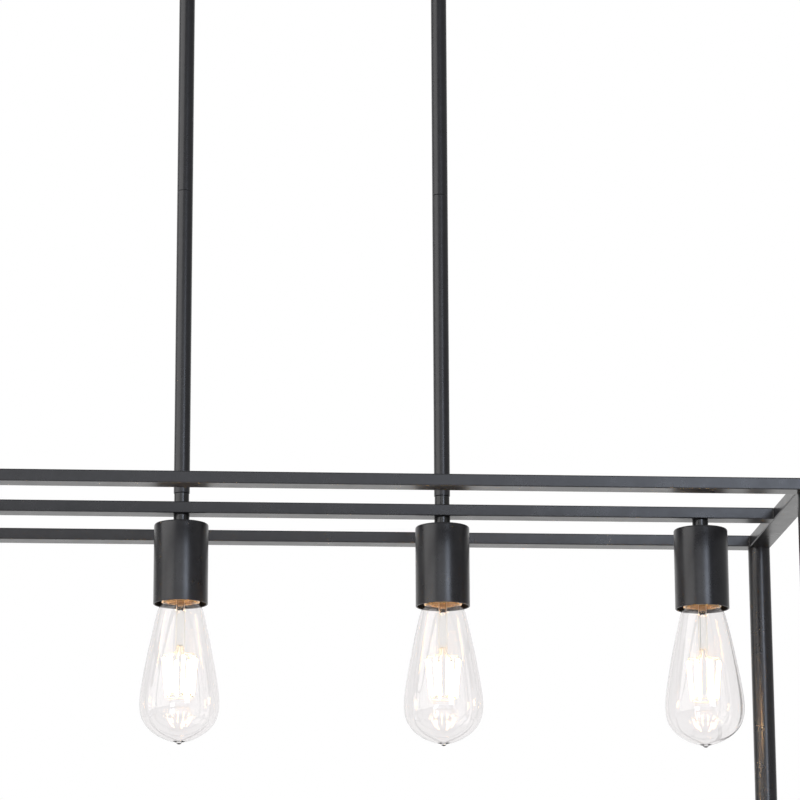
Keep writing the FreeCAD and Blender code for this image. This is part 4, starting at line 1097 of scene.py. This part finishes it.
def make_threaded_zinc(pitch):
    """Zinc with the fine ridges of a screw thread across Z."""
    material = make_metal(f"thread_{round(pitch * 100)}", (0.42, 0.43, 0.44, 1),
                          (0.60, 0.60, 0.59, 1), 0.46, 0.30, 200)
    tree = material.node_tree
    along = add(tree, "ShaderNodeSeparateXYZ",
                {"Vector": add(tree, "ShaderNodeTexCoord").outputs["Object"]}).outputs["Z"]
    ridges = sum_up(tree, "SINE", sum_up(tree, "MULTIPLY", along, 2 * math.pi / (pitch * MM)))
    bump(tree, tree.nodes["Principled BSDF"], ridges, 1.0, 0.25 * MM)
    return material


tube_thread = make_threaded_zinc(TUBE_PITCH)
print("made", tube_thread.name)

# %% Give every CAD node its finish
FINISH = {
    "black_steel": black_coat, "zinc_steel": zinc, "ground_green": green_zinc,
    "wire_insulation": insulation, "wire_nut_plastic": wire_nut_plastic, "porcelain": porcelain,
    "shell_brass": brass, "cap_brass": brass, "tip_solder": solder, "clear_glass": bulb_glass,
    "filament": mount_glass,
}
THREADED = ("through_nipples", "end_lamp_nipples", "stem_couplers")
for entry in frame["record"]["subparts"]:
    mesh = nodes[entry["node"]].data
    mesh.materials.clear()
    mesh.materials.append(tube_thread if entry["node"] in THREADED
                          else FINISH[entry["material_slot"]])

# %% [markdown]
# ## Studio
#
# The object hangs in a white studio. Camera and transmission rays that miss everything see plain
# white. Glossy rays see white only towards the far wall behind the object and a dimmer room
# elsewhere, so the undersides of the rails mirror white and the faces towards the viewer stay dark.
# All other rays see a softer level, so that a colour renders about as it is written. A tall soft
# lamp stands to the left, a wide one in front and a bluish one in front on the right: they draw the
# soft stripes down each rod, post and cup. The floor is pale and keeps a faint shadow.

# %% World
ROOM_LEVEL = 0.50
MIRRORED_LEVEL = 0.40
WHITE_STARTS, WHITE_FULL = 0.50, 0.85  # the share of +Y in a glossy ray's direction


def make_world():
    world = bpy.data.worlds.new("white_studio")
    world.use_nodes = True
    tree = world.node_tree
    back = tree.nodes["Background"]
    path = add(tree, "ShaderNodeLightPath")
    direct = sum_up(tree, "MAXIMUM", path.outputs["Is Camera Ray"],
                    path.outputs["Is Transmission Ray"])
    heading = add(tree, "ShaderNodeSeparateXYZ",
                  {"Vector": add(tree, "ShaderNodeTexCoord").outputs["Generated"]})
    mirrored = add(tree, "ShaderNodeMapRange",
                   {"Value": heading.outputs["Y"], "From Min": WHITE_STARTS, "From Max": WHITE_FULL,
                    "To Min": MIRRORED_LEVEL, "To Max": 1.0}, interpolation_type="SMOOTHSTEP")
    soft = add(tree, "ShaderNodeMapRange",
               {"Value": path.outputs["Is Glossy Ray"], "To Min": ROOM_LEVEL,
                "To Max": mirrored.outputs["Result"]})
    level = add(tree, "ShaderNodeMapRange", {"Value": direct, "To Min": soft.outputs["Result"],
                                             "To Max": 1.0})
    tree.links.new(level.outputs["Result"], back.inputs["Strength"])
    back.inputs["Color"].default_value = (1, 1, 1, 1)
    scene.world = world
    print("world", world.name)


make_world()

# %% Floor
FLOOR_LEVEL = -2.4
FLOOR_REACH = 5.0
FLOOR_LIFT = 0.42


def make_floor():
    """A pale floor. The camera sees it lifted towards the white behind it, shadow and all."""
    material, tree, shader = new_material("pale_floor")
    tree.links.new(tinted(tree, noise(tree, 3), grey(0.86), grey(0.90)),
                   shader.inputs["Base Color"])
    shader.inputs["Roughness"].default_value = 0.9
    path = add(tree, "ShaderNodeLightPath")
    tree.links.new(sum_up(tree, "MULTIPLY", path.outputs["Is Camera Ray"], FLOOR_LIFT),
                   shader.inputs["Emission Strength"])
    shader.inputs["Emission Color"].default_value = grey(1.0)
    seen = sum_up(tree, "MAXIMUM", path.outputs["Is Glossy Ray"],
                  path.outputs["Is Transmission Ray"])
    white = add(tree, "ShaderNodeEmission", {"Color": grey(1.0), "Strength": 1.0})
    either = add(tree, "ShaderNodeMixShader", {"Fac": seen, 1: shader.outputs["BSDF"],
                                               2: white.outputs["Emission"]})
    tree.links.new(either.outputs["Shader"], tree.nodes["Material Output"].inputs["Surface"])
    mesh = bpy.data.meshes.new("floor")
    corners = [(x * FLOOR_REACH, y * FLOOR_REACH, FLOOR_LEVEL)
               for x, y in ((-1, -1), (1, -1), (1, 1), (-1, 1))]
    mesh.from_pydata(corners, [], [(0, 1, 2, 3)])
    mesh.materials.append(material)
    floor = bpy.data.objects.new("floor", mesh)
    scene.collection.objects.link(floor)
    print("floor at", FLOOR_LEVEL, "m")


make_floor()

# %% Lamps
SOFTBOXES = [
    # name, place, aim, width, height, brightness of its face, colour
    ("tall_left", (-1.5, -0.65, 0.05), (0.1, 0, 0.05), 2.3, 2.1, 1.7, (1, 0.99, 0.98)),
    ("wide_front", (-0.38, -2.95, -0.30), (-0.38, 0, -0.30), 2.0, 1.1, 1.35, (0.93, 0.95, 1)),
    ("right_front", (1.05, -2.90, -0.30), (1.05, 0, -0.30), 0.85, 1.1, 6.3, (0.76, 0.84, 1)),
]

for name, spot, aim, width, height, brightness, colour in SOFTBOXES:
    data = bpy.data.lights.new(name, "AREA")
    data.shape = "RECTANGLE"
    data.size, data.size_y = width, height
    data.energy = math.pi * width * height * brightness
    data.color = colour
    softbox = bpy.data.objects.new(name, data)
    softbox.location = spot
    softbox.rotation_euler = (Vector(aim) - Vector(spot)).to_track_quat("-Z", "Y").to_euler()
    scene.collection.objects.link(softbox)
    print("lamp", name, round(data.energy, 1), "W")

# %% [markdown]
# ## View
#
# The visual model has to stay inside the CAD model's box. The picture uses the plain Standard
# view, which shows colours as they are.

# %% Set the view
scene.view_settings.view_transform = "Standard"
